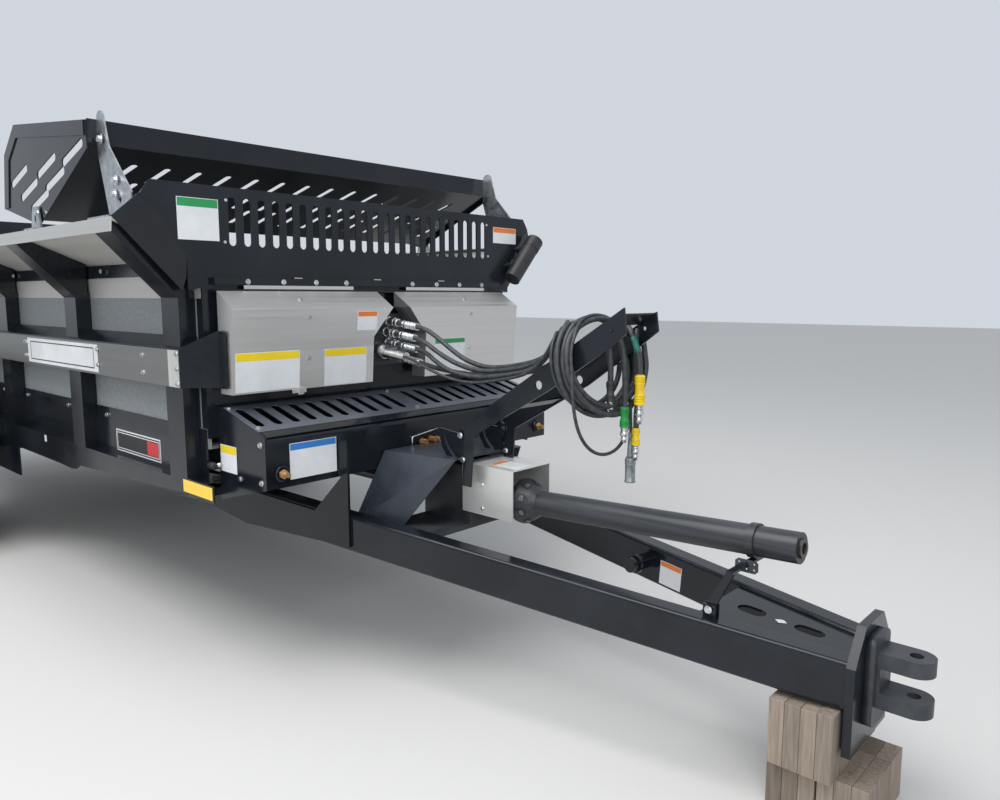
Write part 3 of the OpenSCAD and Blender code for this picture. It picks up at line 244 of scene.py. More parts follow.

# %% [markdown]
# A Blender curve with a bevel turns each line into a round hose, and the curve keeps its centre
# line.

# %% Make the hoses
def hose_curve(name, line, radius):
    data = bpy.data.curves.new(name, "CURVE")
    data.dimensions = "3D"
    data.bevel_depth = radius
    data.bevel_resolution = 3
    data.use_fill_caps = True
    spline = data.splines.new("POLY")
    spline.points.add(len(line) - 1)
    for point, place in zip(spline.points, line):
        point.co = (*place, 1)
    spline.use_smooth = True
    return add_object(name, data)


hoses = {name: hose_curve(name + "_line", line, cord_radius[name])
         for name, line in cord_lines.items()}
print(len(hoses), "hoses")

# %% [markdown]
# The floor is a plain pale sheet, and the light is soft and comes from above.

# %% Floor, world and lamps
def floor(half=40.0):
    mesh = bpy.data.meshes.new("floor")
    corners = [(-half, -half, 0), (half, -half, 0), (half, half, 0), (-half, half, 0)]
    mesh.from_pydata(corners, [], [(0, 1, 2, 3)])
    obj = add_object("floor", mesh)
    material = bpy.data.materials.new("floor")
    material.use_nodes = True
    shader = material.node_tree.nodes["Principled BSDF"]
    shader.inputs["Base Color"].default_value = (0.62, 0.61, 0.59, 1)
    shader.inputs["Roughness"].default_value = 0.8
    mesh.materials.append(material)


def area_lamp(name, place, aim, size, power):
    data = bpy.data.lights.new(name, "AREA")
    data.shape = "RECTANGLE"
    data.size, data.size_y = size
    data.energy = power
    obj = add_object(name, data)
    obj.location = place
    obj.rotation_euler = (Vector(aim) - Vector(place)).to_track_quat("-Z", "Y").to_euler()


floor()
world = bpy.data.worlds.new("world")
world.use_nodes = True
sky = world.node_tree.nodes["Background"]
sky.inputs["Color"].default_value = (0.85, 0.9, 0.97, 1)
sky.inputs["Strength"].default_value = 0.75
scene.world = world
area_lamp("sky", (1.0, -3.0, 7.0), (0.5, 0.0, 0.8), (7.0, 5.0), 500.0)
area_lamp("side", (6.5, -5.0, 3.5), (1.0, 0.0, 0.8), (3.0, 3.0), 120.0)
scene.view_settings.view_transform = "Standard"

# %% [markdown]
# Every finish here is a Principled shader whose colour wanders between two shades,
# whose roughness wanders between two values and whose surface has a fine bump, all
# driven by noise in the object's own space. One builder with a few numbers covers
# paint, rubber, plastic and steel. The noise is stretched along one axis for brushed
# sheet and for wood, which is what makes streaks and grain.

# %% A builder of finishes
def fill(tree, node, **inputs):
    """Gives inputs of a node a value or another node's output; _0 means the first one."""
    for key, value in inputs.items():
        socket = node.inputs[int(key[1:]) if key[0] == "_" else key.replace("_", " ")]
        if isinstance(value, bpy.types.NodeSocket):
            tree.links.new(value, socket)
        else:
            socket.default_value = value
    return node


def add_node(tree, kind, **inputs):
    return fill(tree, tree.nodes.new(kind), **inputs)


def finish_of(name, dark, light, rough, grain=8, metal=0.0, bump=(0.1, 0.0004, 300),
              coat=0.0, contrast=(0.35, 0.65), bump_grain=(1, 1, 1), gloss=0.5):
    """dark, light: two shades; rough: two values; grain: noise scale, one for all axes or
    one for each; bump: strength, distance in metres and scale."""
    if isinstance(grain, int):
        grain = (grain, grain, grain)
    material = bpy.data.materials.new(name)
    material.use_nodes = True
    tree = material.node_tree
    place = add_node(tree, "ShaderNodeTexCoord").outputs["Object"]
    mapping = add_node(tree, "ShaderNodeMapping", Scale=grain, Vector=place)
    noise = add_node(tree, "ShaderNodeTexNoise", Scale=1.0, Detail=6.0, Roughness=0.6,
                     Vector=mapping.outputs["Vector"]).outputs["Fac"]
    ramp = add_node(tree, "ShaderNodeValToRGB", Fac=noise)
    for stop, position, shade in zip(ramp.color_ramp.elements, contrast, (dark, light)):
        stop.position = position
        stop.color = (*shade, 1)
    spread = add_node(tree, "ShaderNodeMapRange", Value=noise, From_Min=0.3, From_Max=0.7,
                      To_Min=rough[0], To_Max=rough[1])
    fine_map = add_node(tree, "ShaderNodeMapping", Scale=bump_grain, Vector=place)
    fine = add_node(tree, "ShaderNodeTexNoise", Scale=float(bump[2]), Detail=3.0,
                    Vector=fine_map.outputs["Vector"])
    relief = add_node(tree, "ShaderNodeBump", Strength=bump[0], Distance=bump[1],
                      Height=fine.outputs["Fac"])
    fill(tree, tree.nodes["Principled BSDF"], Base_Color=ramp.outputs["Color"],
         Roughness=spread.outputs["Result"], Normal=relief.outputs["Normal"], Metallic=metal,
         Coat_Weight=coat, Coat_Roughness=0.08, Specular_IOR_Level=gloss)
    return material


def brushed(name, dark, light, along=0, metal=0.92, rough=(0.34, 0.46)):
    """Brushed sheet, with streaks along one axis: 0 runs ahead, 1 across."""
    grain, fine = [120, 120, 120], [18, 18, 18]
    grain[along], fine[along] = 1.2, 1
    return finish_of(name, dark, light, rough, grain, metal, (0.03, 0.0001, 60),
                     contrast=(0.2, 0.8), bump_grain=fine)


# %% [markdown]
# The frame is black enamel with a blue cast, as smooth as a car's. Dust dulls it
# unevenly, so its roughness changes over patches a hand wide, and a slight orange peel
# breaks up what it mirrors. Covers, trim and rails are brushed stainless steel: streaks
# run along the sheet. The boards are grey with a fine frost of paler grains.

# %% Finishes of the machine
# Each row: slot, title, dark and light shade, roughness, what is not as usual
TABLE = [
    ("black_paint", "black enamel", (0.005, 0.007, 0.010), (0.012, 0.015, 0.021), (0.10, 0.26),
     dict(grain=3, bump=(0.10, 0.0003, 90), gloss=0.38)),
    ("beater_paint", "beater enamel", (0.012, 0.012, 0.014), (0.03, 0.03, 0.032), (0.3, 0.5),
     dict(grain=12)),
    ("board_paint", "frosted board", (0.14, 0.155, 0.165), (0.27, 0.29, 0.30), (0.38, 0.6),
     dict(grain=(110, 110, 60), contrast=(0.3, 0.72), bump=(0.25, 0.0006, 160))),
    ("deck_board", "worn deck", (0.06, 0.06, 0.06), (0.14, 0.14, 0.135), (0.4, 0.7),
     dict(grain=(2, 30, 30))),
    # The sheet's own pale grey, painted paler and warmer besides: a painted reflection of the
    # pale ground on the sheets' undersides
    ("sheet_steel", "mill sheet with painted reflection", (0.52, 0.51, 0.485), (0.60, 0.59, 0.56), (0.42, 0.54),
     dict(grain=(0.5, 9, 9), metal=0.5, bump=(0.03, 0.0002, 60), contrast=(0.15, 0.85))),
    ("galvanised", "galvanised", (0.36, 0.38, 0.40), (0.56, 0.59, 0.62), (0.3, 0.45),
     dict(grain=28, metal=1.0)),
    ("cast_clevis", "painted casting", (0.022, 0.025, 0.03), (0.05, 0.055, 0.065), (0.35, 0.6),
     dict(grain=14, bump=(0.5, 0.0012, 110))),
    ("timber", "weathered timber", (0.19, 0.15, 0.115), (0.40, 0.33, 0.265), (0.7, 0.9),
     dict(grain=(90, 90, 6), bump=(0.7, 0.0015, 60), bump_grain=(3, 3, 0.25),
          contrast=(0.25, 0.75))),
    ("chain_steel", "oiled chain", (0.05, 0.045, 0.04), (0.16, 0.15, 0.14), (0.3, 0.55),
     dict(grain=30, metal=0.8)),
    ("bare_bolts", "rusty brass", (0.20, 0.09, 0.035), (0.55, 0.36, 0.17), (0.35, 0.65),
     dict(grain=60, metal=0.7)),
    ("gearbox_paint", "gearbox enamel", (0.02, 0.022, 0.026), (0.04, 0.045, 0.05), (0.3, 0.5),
     dict(grain=9, bump=(0.3, 0.0008, 140))),
    ("black_plastic", "black plastic", (0.014, 0.014, 0.015), (0.026, 0.026, 0.028),
     (0.35, 0.5), dict(grain=20, bump=(0.2, 0.0003, 500))),
    ("guard_plastic", "guard plastic", (0.018, 0.020, 0.024), (0.045, 0.049, 0.056),
     (0.3, 0.5), dict(grain=(2, 60, 60), bump=(0.15, 0.0003, 400))),
    ("red_lens", "red lens", (0.35, 0.008, 0.008), (0.55, 0.02, 0.018), (0.08, 0.16),
     dict(grain=30, coat=0.6)),
    ("tyre", "tyre rubber", (0.012, 0.012, 0.012), (0.035, 0.034, 0.032), (0.6, 0.85),
     dict(grain=10, bump=(0.4, 0.0008, 220))),
    ("rim_paint", "rim enamel", (0.5, 0.5, 0.5), (0.66, 0.66, 0.655), (0.25, 0.42), {}),
    ("rod_chrome", "chrome", (0.7, 0.7, 0.7), (0.8, 0.8, 0.8), (0.06, 0.12), dict(metal=1.0)),
    ("fitting_steel", "zinc fittings", (0.55, 0.56, 0.57), (0.76, 0.77, 0.78), (0.2, 0.34),
     dict(grain=25, metal=1.0, bump=(0.05, 0.0002, 200))),
    ("hose_rubber", "hose rubber", (0.022, 0.024, 0.027), (0.055, 0.06, 0.066), (0.35, 0.55),
     dict(grain=45, bump=(0.5, 0.0005, 700))),
    ("grip_paint", "yellow grip", (0.78, 0.50, 0.004), (0.95, 0.68, 0.01), (0.35, 0.5),
     dict(grain=25)),
    ("plug_plastic", "plug casting", (0.20, 0.23, 0.24), (0.34, 0.38, 0.39), (0.3, 0.5),
     dict(grain=50, metal=0.5)),
]
FINISHES = {slot: finish_of(title, dark, light, rough, **rest)
            for slot, title, dark, light, rough, rest in TABLE}
FINISHES["stainless"] = brushed("brushed stainless", (0.60, 0.592, 0.57), (0.69, 0.68, 0.655))
BLACK, STEEL = FINISHES["black_paint"], FINISHES["fitting_steel"]
COVER_STEEL = brushed("brushed cover", (0.66, 0.652, 0.63), (0.75, 0.74, 0.72), along=1)
SHELF_STEEL = brushed("shelf sheet", (0.25, 0.252, 0.246), (0.31, 0.312, 0.304),
                      rough=(0.32, 0.44))
SHIELD_STEEL = brushed("shield sheet", (0.78, 0.775, 0.755), (0.86, 0.855, 0.835), metal=0.7)
# Black painted lighter and bluer than the enamel: a painted sheen of the sky, on the guards and
# the hub caps
SHEEN_BLACK = finish_of("black with painted sheen", (0.022, 0.027, 0.036), (0.045, 0.053, 0.068),
                       (0.24, 0.38), grain=3, bump=(0.05, 0.0002, 200))
OWN_FINISH = {"cover_right": COVER_STEEL, "cover_left": COVER_STEEL, "shelves": SHELF_STEEL,
              "pto_shield": SHIELD_STEEL, "slotted_cover": SHEEN_BLACK,
              "gearbox_guard": SHEEN_BLACK}
slots = {row["node"]: row["material_slot"] for row in frame["record"]["subparts"]}
for node, obj in frame["nodes"].items():
    obj.data.materials.clear()
    obj.data.materials.append(OWN_FINISH.get(node, FINISHES[slots[node]]))


def two_tone(name, first, second, split_x):
    """One finish behind a plane across the machine, another in front of it."""
    material = second.copy()
    material.name = name
    tree = material.node_tree
    place = add_node(tree, "ShaderNodeTexCoord").outputs["Object"]
    parts = add_node(tree, "ShaderNodeSeparateXYZ", _0=place)
    ahead = add_node(tree, "ShaderNodeMath", _0=parts.outputs["X"], _1=split_x)
    ahead.operation = "GREATER_THAN"
    mix = tree.nodes.new("ShaderNodeMix")
    mix.data_type = "RGBA"
    fill(tree, mix, _0=ahead.outputs[0], _6=(*first, 1),
         _7=tree.nodes["Color Ramp"].outputs["Color"])
    fill(tree, tree.nodes["Principled BSDF"], Metallic=ahead.outputs[0],
         Base_Color=mix.outputs[2])
    return material


BULKHEAD_FRONT = 68.5
frame["nodes"]["hose_bulkhead"].data.materials[0] = two_tone(
    "bulkhead and rods", (0.010, 0.012, 0.016), STEEL, spot(BULKHEAD_FRONT, 0, 0).x)
print(len(FINISHES), "finishes, and", len(OWN_FINISH) + 1, "nodes with one of their own")

# %% [markdown]
# Small helpers come next. One joins boxes into a mesh, each box with a place, two
# directions and a thickness; one turns an outline round an axis, as on a lathe.

# %% Boxes and lathe
def keep_piece(name, mesh, finishes, body, slot):
    """Makes a piece from a mesh, gives it its finishes and rides it on a body."""
    for material in finishes:
        mesh.materials.append(material)
    obj = add_object(name, mesh)
    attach(obj, body)
    return obj


def keep_mesh(name, built, *rest):
    """The same from a bmesh."""
    mesh = bpy.data.meshes.new(name)
    bmesh.ops.recalc_face_normals(built, faces=built.faces)
    built.to_mesh(mesh)
    built.free()
    return keep_piece(name, mesh, *rest)


def lie_on(centre, right, up, thick):
    """Lays a flat piece on a surface: centre is on the surface, thick is outwards."""
    right, up = Vector(right).normalized(), Vector(up).normalized()
    out = right.cross(up)
    turn = Matrix((right, up, out)).transposed().to_4x4()
    return Matrix.Translation(spot(*centre) + out * (thick / 2000)) @ turn


def add_box(built, centre, right, up, size, index=0, bevel=0.0):
    """A box on a surface: centre is on the surface, size is across, up and outwards."""
    made = bmesh.ops.create_cube(built, size=1.0)
    scale = Matrix.Diagonal((size[0] / 1000, size[1] / 1000, size[2] / 1000, 1))
    bmesh.ops.transform(built, matrix=lie_on(centre, right, up, size[2]) @ scale,
                        verts=made["verts"])
    faces = {face for vert in made["verts"] for face in vert.link_faces}
    for face in faces:
        face.material_index = index
    if bevel:
        edges = {edge for vert in made["verts"] for edge in vert.link_edges}
        bmesh.ops.bevel(built, geom=list(edges), offset=bevel / 1000, segments=2,
                        affect="EDGES", profile=0.5)


def join_rings(built, rings, sides, index=0):
    """Faces between neighbouring rings of points; a ring may be a single point."""
    for low, high in zip(rings, rings[1:]):
        for k in range(sides):
            corners = []
            for ring, j in ((low, k), (low, k + 1), (high, k + 1), (high, k)):
                vert = ring[j % len(ring)]
                if vert not in corners:
                    corners.append(vert)
            if len(corners) > 2:
                face = built.faces.new(corners)
                face.material_index = index
                face.smooth = True


def add_lathe(built, base, axis, outline, sides=32, index=0):
    """Turns rows of (radius, height) round an axis; closed where a radius is 0."""
    turn = Vector(axis).to_track_quat("Z", "X").to_matrix()
    origin = spot(*base)
    rings = []
    for radius, height in outline:
        if radius <= 0:
            rings.append([built.verts.new(origin + turn @ Vector((0, 0, height / 1000)))])
            continue
        rings.append([built.verts.new(origin + turn @ Vector((
            radius / 1000 * math.cos(a), radius / 1000 * math.sin(a), height / 1000)))
            for a in (2 * math.pi * k / sides for k in range(sides))])
    join_rings(built, rings, sides, index)


def slot_ring(x, y, across, length, turn=0.0, steps=8):
    """Points of a slot with round ends; a length equal to across gives a round hole."""
    points = []
    reach = (length - across) / 2
    for i in range(2 * (steps + 1)):
        upper = i <= steps
        angle = math.pi * (i - (0 if upper else 1)) / steps
        points.append((across / 2 * math.cos(angle),
                       across / 2 * math.sin(angle) + (reach if upper else -reach)))
    c, s = math.cos(turn), math.sin(turn)
    return [(x + c * px - s * py, y + s * px + c * py) for px, py in points]


def add_plate(built, outline, holes, thick, centre, right, up, index=0):
    """A flat plate with holes, cut as a filled curve and laid on a surface."""
    data = bpy.data.curves.new("cut", "CURVE")
    data.dimensions = "2D"
    data.fill_mode = "BOTH"
    data.extrude = thick / 2000
    for ring in [outline] + holes:
        spline = data.splines.new("POLY")
        spline.points.add(len(ring) - 1)
        for point, (x, y) in zip(spline.points, ring):
            point.co = (x / 1000, y / 1000, 0, 1)
        spline.use_cyclic_u = True
    cut = add_object("cut", data)
    mesh = bpy.data.meshes.new_from_object(
        cut.evaluated_get(bpy.context.evaluated_depsgraph_get()))
    bpy.data.objects.remove(cut)
    mesh.transform(lie_on(centre, right, up, thick))
    count = len(built.faces)
    built.from_mesh(mesh)
    bpy.data.meshes.remove(mesh)
    built.faces.ensure_lookup_table()
    for face in built.faces[count:]:
        face.material_index = index
    bmesh.ops.remove_doubles(built, verts=built.verts, dist=2e-6)


def crimp(radius, start, stop, ridges, depth=1.2):
    """An outline with rings pressed into it, from one height to another."""
    step = (stop - start) / (2 * ridges + 1)
    rows = []
    for i in range(2 * ridges + 1):
        r = radius - (depth if i % 2 else 0)
        rows += [(r, start + i * step), (r, start + (i + 1) * step)]
    return rows


print("helpers ready")

# %% [markdown]
# Each hose ends in a quick coupler: a moulded grip, a crimped sleeve and a steel tip
# with a groove that the socket's balls lock into. The cable ends in a long bend
# protector and a cast plug. All of them are turned shapes, so the lathe makes them,
# and they stand in for the plain cylinders of the frame.

# %% Couplers and plug
GREEN_GRIP = finish_of("green grip", (0.004, 0.20, 0.03), (0.01, 0.32, 0.06), (0.35, 0.5),
                       grain=25)
DARK_GRIP = finish_of("dark grip", (0.02, 0.022, 0.025), (0.05, 0.053, 0.058), (0.4, 0.55),
                      grain=25)
# Each row: hose, grip length, reach of the tip, grip radius, finish of the grip
COUPLERS = [("hose_1", 104, 170, 18.5, FINISHES["grip_paint"]),
            ("hose_2", 60, 114, 14.5, FINISHES["grip_paint"]),
            ("hose_3", 70, 123, 16.0, GREEN_GRIP),
            ("hose_4", 70, 123, 15.0, DARK_GRIP)]
DOWN = (0, 0, -1)
for name, grip, reach, wide, finish in COUPLERS:
    end = TAILS[name][-1]
    built = bmesh.new()
    add_lathe(built, end, DOWN, [(0, 0), (12, 0), (wide - 1, 5)]
              + crimp(wide, 7, grip * 0.3, 3) + [(wide - 2, grip * 0.34),
              (wide - 2.5, grip * 0.5), (wide - 2, grip * 0.64)]
              + crimp(wide + 0.6, grip * 0.68, grip - 5, 3)
              + [(wide + 1, grip - 4), (wide, grip), (0, grip)])
    tip, body_r = reach - grip, wide * 0.62 + 4
    add_lathe(built, (end[0], end[1], end[2] - grip), DOWN,
              [(0, 0), (body_r - 1.5, 0)] + crimp(body_r - 1, 1, tip * 0.35, 2)
              + [(body_r, tip * 0.38), (body_r, tip * 0.55), (body_r - 4, tip * 0.58),
                 (body_r - 4, tip * 0.68), (body_r - 2, tip * 0.7),
                 (body_r - 2, tip * 0.82), (body_r - 5, tip * 0.87), (body_r - 5, tip),
                 (3, tip), (3, tip - 6), (0, tip - 6)], index=1)
    piece = keep_mesh("coupler_" + name, built, [finish, STEEL], "root", "grip_paint")
    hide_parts("couplers")

end = TAILS["cable"][-1]
built = bmesh.new()
add_lathe(built, end, DOWN, [(0, 0), (7, 0)] + crimp(9.5, 4, 30, 4) + [(10, 34), (12, 80),
          (14, 92), (0, 92)], index=1)
add_lathe(built, (end[0], end[1], end[2] - 88), DOWN,
          [(0, 0), (15, 0), (18, 6)] + crimp(19.5, 10, 26, 2) + [(18, 28), (18, 84), (19.5, 86),
           (19.5, 91), (16, 91), (16, 70), (0, 70)])
plug = keep_mesh("plug_body", built, [FINISHES["plug_plastic"], FINISHES["plug_plastic"]],
                 "root", "plug_plastic")
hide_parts("cable_plug")

# %% [markdown]
# A turn of coloured tape marks which hoses belong together. A mark is a slightly
# thicker sleeve along a few points of its hose.

# %% Tape marks, and the cords' finish
TAPE = finish_of("teal tape", (0.01, 0.13, 0.10), (0.03, 0.24, 0.18), (0.35, 0.5),
                 grain=30)


def add_sleeve(built, line, radius, sides=14):
    """A round sleeve along a line, closed at both ends."""
    rings = []
    for i, point in enumerate(line):
        ahead = (line[min(i + 1, len(line) - 1)] - line[max(i - 1, 0)]).normalized()
        side = ahead.cross(Vector((0.3, 0.2, 0.93))).normalized()
        other = ahead.cross(side)
        angles = [2 * math.pi * k / sides for k in range(sides)]
        rings.append([built.verts.new(point + radius * (math.cos(a) * side
                                                        + math.sin(a) * other))
                      for a in angles])
    join_rings(built, rings, sides)
    built.faces.new(rings[0][::-1])
    built.faces.new(rings[-1])


# Each row: hose, points counted back from its end, of the mark's start and stop
MARKS = [("hose_1", 14, 9), ("hose_3", 30, 27), ("hose_2", 52, 49)]
for name, start, stop in MARKS:
    built = bmesh.new()
    add_sleeve(built, cord_lines[name][-start:-stop], cord_radius[name] + 0.0007)
    keep_mesh("tape_" + name, built, [TAPE], "root", "hose_rubber")

for name, hose in hoses.items():
    hose.data.materials.append(FINISHES["hose_rubber"])
    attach(hose, "root")
    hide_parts(name, "hose_coil")

# %% [markdown]
# At the bulkhead each hose is crimped into a steel sleeve behind a hexagonal nut. The
# electric lead has a round bell with a locking ring. The frame holds plain rods there;
# rings and nuts are slipped over them.

# %% Fittings at the bulkhead
FALL, ROOT_X, SLEEVE_AT = 0.115, 62, 140
AIM = Vector((1, 0, -FALL))
# Each row: across, up
RODS = [(-3, 1364), (-19, 1318), (-9, 1270), (13, 1210)]
# Each row: place along the rod, radius, length, sides
NUTS = [(7, 22, 16, 6), (44, 21, 20, 6), (74, 18.5, 10, 24), (116, 18, 12, 6)]
BELL = [(0, 0), (33, 0), (34, 3), (34, 14), (31, 17), (31, 40), (34, 43), (34, 58), (30, 66),
        (24, 84), (22, 110), (21, 150), (18, 190), (12, 206), (0, 206)]
built = bmesh.new()
for y, z in RODS:
    for start, radius, length, sides in NUTS:
        add_lathe(built, (ROOT_X + start, y, z - start * FALL), AIM,
                  [(0, 0), (radius - 1, 0), (radius, 1), (radius, length - 1),
                   (radius - 1, length), (0, length)], sides=sides)
    add_lathe(built, (ROOT_X + SLEEVE_AT, y, z - SLEEVE_AT * FALL), AIM,
              [(0, 0), (15, 0)] + crimp(16.6, 1, 66, 7) + [(15, 68), (0, 68)])
add_lathe(built, (68, -71, 1240), AIM, BELL)
for face in built.faces:
    if len(face.verts) == 4 and face.calc_area() > 3e-4:
        face.smooth = False
keep_mesh("fitting_rings", built, [STEEL], "root", "fitting_steel")

# %% [markdown]
# Signs and plates carry no words here: each is a thin white sheet with a plain band of
# colour where the real one has a heading. A sign is a box less than a millimetre thick
# laid on its panel, so it stays a real piece of geometry from every side.

# %% Blank signs
def ink_of(name, colour):
    shade = tuple(c * 0.86 for c in colour)
    return finish_of("sign " + name, shade, colour, (0.4, 0.52), grain=6,
                     bump=(0.05, 0.0001, 200))


COLOURS = {"white": (0.76, 0.78, 0.80), "green": (0.02, 0.30, 0.09),
           "orange": (0.80, 0.20, 0.03), "yellow": (0.90, 0.66, 0.01),
           "blue": (0.03, 0.20, 0.55), "red": (0.62, 0.03, 0.03),
           "black": (0.015, 0.015, 0.018)}
INKS = {name: ink_of(name, colour) for name, colour in COLOURS.items()}
ACROSS, ALONG, UP, AHEAD = (0, 1, 0), (1, 0, 0), (0, 0, 1), (0.98337, -0.17602, -0.07425)
COVER_UP = (25, 0, 318)


def cover_x(z):
    """How far ahead the leaning face of a cover is at a height."""
    return 145 - 25 * (1423 - z) / 318


# Each row: name, body, centre, right, up, width, height, band colour, band share
SIGNS = [
    ("sign_wall_right", "root", (0, -825, 1751), ACROSS, UP, 160, 152, "green", 0.2),
    ("sign_wall_left", "root", (0, 851, 1783), ACROSS, UP, 176, 80, "orange", 0.3),
    ("sign_cover_wide", "cover_right", (cover_x(1186), -636, 1186), ACROSS, COVER_UP,
     276, 150, "yellow", 0.2),
    ("sign_cover_narrow", "cover_right", (cover_x(1183), -274, 1183), ACROSS, COVER_UP,
     212, 150, "yellow", 0.19),
    ("sign_cover_top", "cover_right", (cover_x(1369), -167, 1369), ACROSS, COVER_UP,
     104, 80, "orange", 0.25),
    ("sign_cover_left", "cover_left", (cover_x(1196), 324, 1196), ACROSS, COVER_UP,
     196, 160, "green", 0.13),
    ("sign_shield", "root", (826, -26, 824), ACROSS, (-1, 0, 0), 96, 138, "orange", 0.16),
    ("sign_housing_side", "root", (69, -785, 858), ALONG, UP, 118, 104, "yellow", 0.28),
    ("sign_housing_front", "root", (330, -583, 869), ACROSS, UP, 206, 134, "blue", 0.18),
    ("sign_tongue", "root", (1405, 196.1, 462), AHEAD, (0.0722, 0, 1), 98, 88, "orange", 0.2),
]
# Thickness of the sheet and of its band, and the white edge above the band
SHEET, BAND, EDGE = 0.6, 0.9, 2
for name, body, centre, right, up, width, height, band, share in SIGNS:
    built = bmesh.new()
    add_box(built, centre, right, up, (width, height, SHEET))
    top = Vector(centre) + Vector(up).normalized() * (height * (1 - share) / 2 - EDGE)
    add_box(built, top, right, up, (width - 2.5 * EDGE, height * share, BAND), 1)
    keep_mesh(name, built, [INKS["white"], INKS[band]], body, "stainless")
print(len(SIGNS), "signs")

# %% [markdown]
# Larger plates sit on the sides: a long blank name plate on the right shelf, a framed
# one with a red field low down, and on both sides an amber reflector on a black bracket
# and a bright strip at the shelf's end. Two small white squares mark the hitch and the
# right side.

# %% Plates on the sides
built = bmesh.new()
plate_at = Vector((-1280, -898, 1199))
add_box(built, plate_at, ALONG, UP, (905, 122, 1.5))
for side in (-1, 1):
    add_box(built, plate_at + Vector((0, 0, 44 * side)), ALONG, UP, (820, 5, 1.9), 1)
    add_box(built, plate_at + Vector((408 * side, 0, 0)), ALONG, UP, (5, 93, 1.9), 1)
keep_mesh("name_plate_blank", built, [INKS["white"], INKS["black"]], "root", "stainless")

built = bmesh.new()
panel_at = Vector((-634, -828.4, 828))
# Each row: inset from the edge, thickness, ink; white and black frames by turns
for inset, thick, ink in ((0, 1.0, 0), (6, 1.3, 1), (12, 1.5, 0), (16, 1.7, 1)):
    add_box(built, panel_at, ALONG, UP, (444 - 2 * inset, 98 - 2 * inset, thick), ink)
add_box(built, panel_at + Vector((150, 0, 0)), ALONG, UP, (104, 58, 2.0), 2)
keep_mesh("panel_plate_blank", built, [INKS["white"], INKS["black"], INKS["red"]], "root",
          "stainless")

AMBER = finish_of("amber reflector", (0.86, 0.52, 0.0), (0.98, 0.66, 0.01), (0.14, 0.28),
                  grain=200, coat=0.5, bump=(0.4, 0.0006, 380))
for side, name in ((-1, "right"), (1, "left")):
    built = bmesh.new()
    add_box(built, (35, side * 880.3, 746), (-side, 0, 0), UP, (200, 66, 6), bevel=1.5)
    add_box(built, (16, side * 886.3, 749), (-side, 0, 0), UP, (228, 50, 2), 1, bevel=0.8)
    keep_mesh("reflector_" + name, built, [BLACK, AMBER], "root", "black_paint")

STRIP = finish_of("bright strip", (0.62, 0.61, 0.58), (0.72, 0.71, 0.68), (0.35, 0.5),
                  grain=(60, 60, 2), metal=0.6)
built = bmesh.new()
for side in (-1, 1):
    add_box(built, (-106, side * 898, 1199), (-side, 0, 0), UP, (84, 140, 1.2))
keep_mesh("shelf_end_strips", built, [STRIP], "root", "stainless")

built = bmesh.new()
add_box(built, (1900, -5, 496.0), (1, 1, -0.14), (-1, 1, 0.0), (26, 26, 0.8))
add_box(built, (-1635, -880, 742), ALONG, UP, (28, 34, 0.6))
keep_mesh("square_marks", built, [INKS["white"]], "root", "stainless")

# %% [markdown]
# Bolts are the classic use of Geometry Nodes: one head, many places. Each point of a
# loose cloud of vertices carries the direction its bolt looks in. The tree lays a washer
# and a six-sided head on every point, turns them that way, makes the copies real and
# gives them their finish. Only the cloud differs between the sets.

# %% The bolt tree
def new_tree(name, inputs):
    """A tree with named inputs; returns it and the outputs of its input node."""
    tree = bpy.data.node_groups.new(name, "GeometryNodeTree")
    for title, kind in [("Geometry", "Geometry"), *inputs, ("Finish", "Material")]:
        tree.interface.new_socket(title, in_out="INPUT", socket_type="NodeSocket" + kind)
    tree.interface.new_socket("Geometry", in_out="OUTPUT", socket_type="NodeSocketGeometry")
    return tree, tree.nodes.new("NodeGroupInput").outputs


def face_along(tree, attribute, axis, pivot="AUTO", **inputs):
    """A turn that points an axis along the direction kept on each point."""
    kept = tree.nodes.new("GeometryNodeInputNamedAttribute")
    kept.data_type = "FLOAT_VECTOR"
    fill(tree, kept, Name=attribute)
    align = tree.nodes.new("FunctionNodeAlignRotationToVector")
    align.axis = axis
    align.pivot_axis = pivot
    return fill(tree, align, Vector=kept.outputs["Attribute"], **inputs).outputs["Rotation"]


def copy_to_points(tree, enter, piece, rotation):
    """Copies a piece to every point, makes the copies real and gives them their finish."""
    copies = add_node(tree, "GeometryNodeInstanceOnPoints", Points=enter["Geometry"],
                      Instance=piece, Rotation=rotation)
    real = add_node(tree, "GeometryNodeRealizeInstances",
                    Geometry=copies.outputs["Instances"])
    dress = add_node(tree, "GeometryNodeSetMaterial", Geometry=real.outputs["Geometry"],
                     Material=enter["Finish"])
    add_node(tree, "NodeGroupOutput", Geometry=dress.outputs["Geometry"])


def bolt_tree():
    tree, enter = new_tree("bolts", [(part, "Float") for part in (
        "Head radius", "Head height", "Washer radius")])

    def disc(sides, radius, height, lift):
        made = add_node(tree, "GeometryNodeMeshCylinder", Vertices=sides, Radius=radius,
                        Depth=height)
        half = tree.nodes.new("ShaderNodeMath")
        half.operation = "MULTIPLY_ADD"
        fill(tree, half, _0=height, _1=0.5, _2=lift)
        raised = add_node(tree, "ShaderNodeCombineXYZ", Z=half.outputs[0])
        return add_node(tree, "GeometryNodeTransform", Geometry=made.outputs["Mesh"],
                        Translation=raised.outputs[0]).outputs["Geometry"]

    join = tree.nodes.new("GeometryNodeJoinGeometry")
    for part in (disc(16, enter["Washer radius"], 0.002, 0.0),
                 disc(6, enter["Head radius"], enter["Head height"], 0.002)):
        tree.links.new(part, join.inputs[0])
    copy_to_points(tree, enter, join.outputs[0], face_along(tree, "aim", "Z"))
    return tree


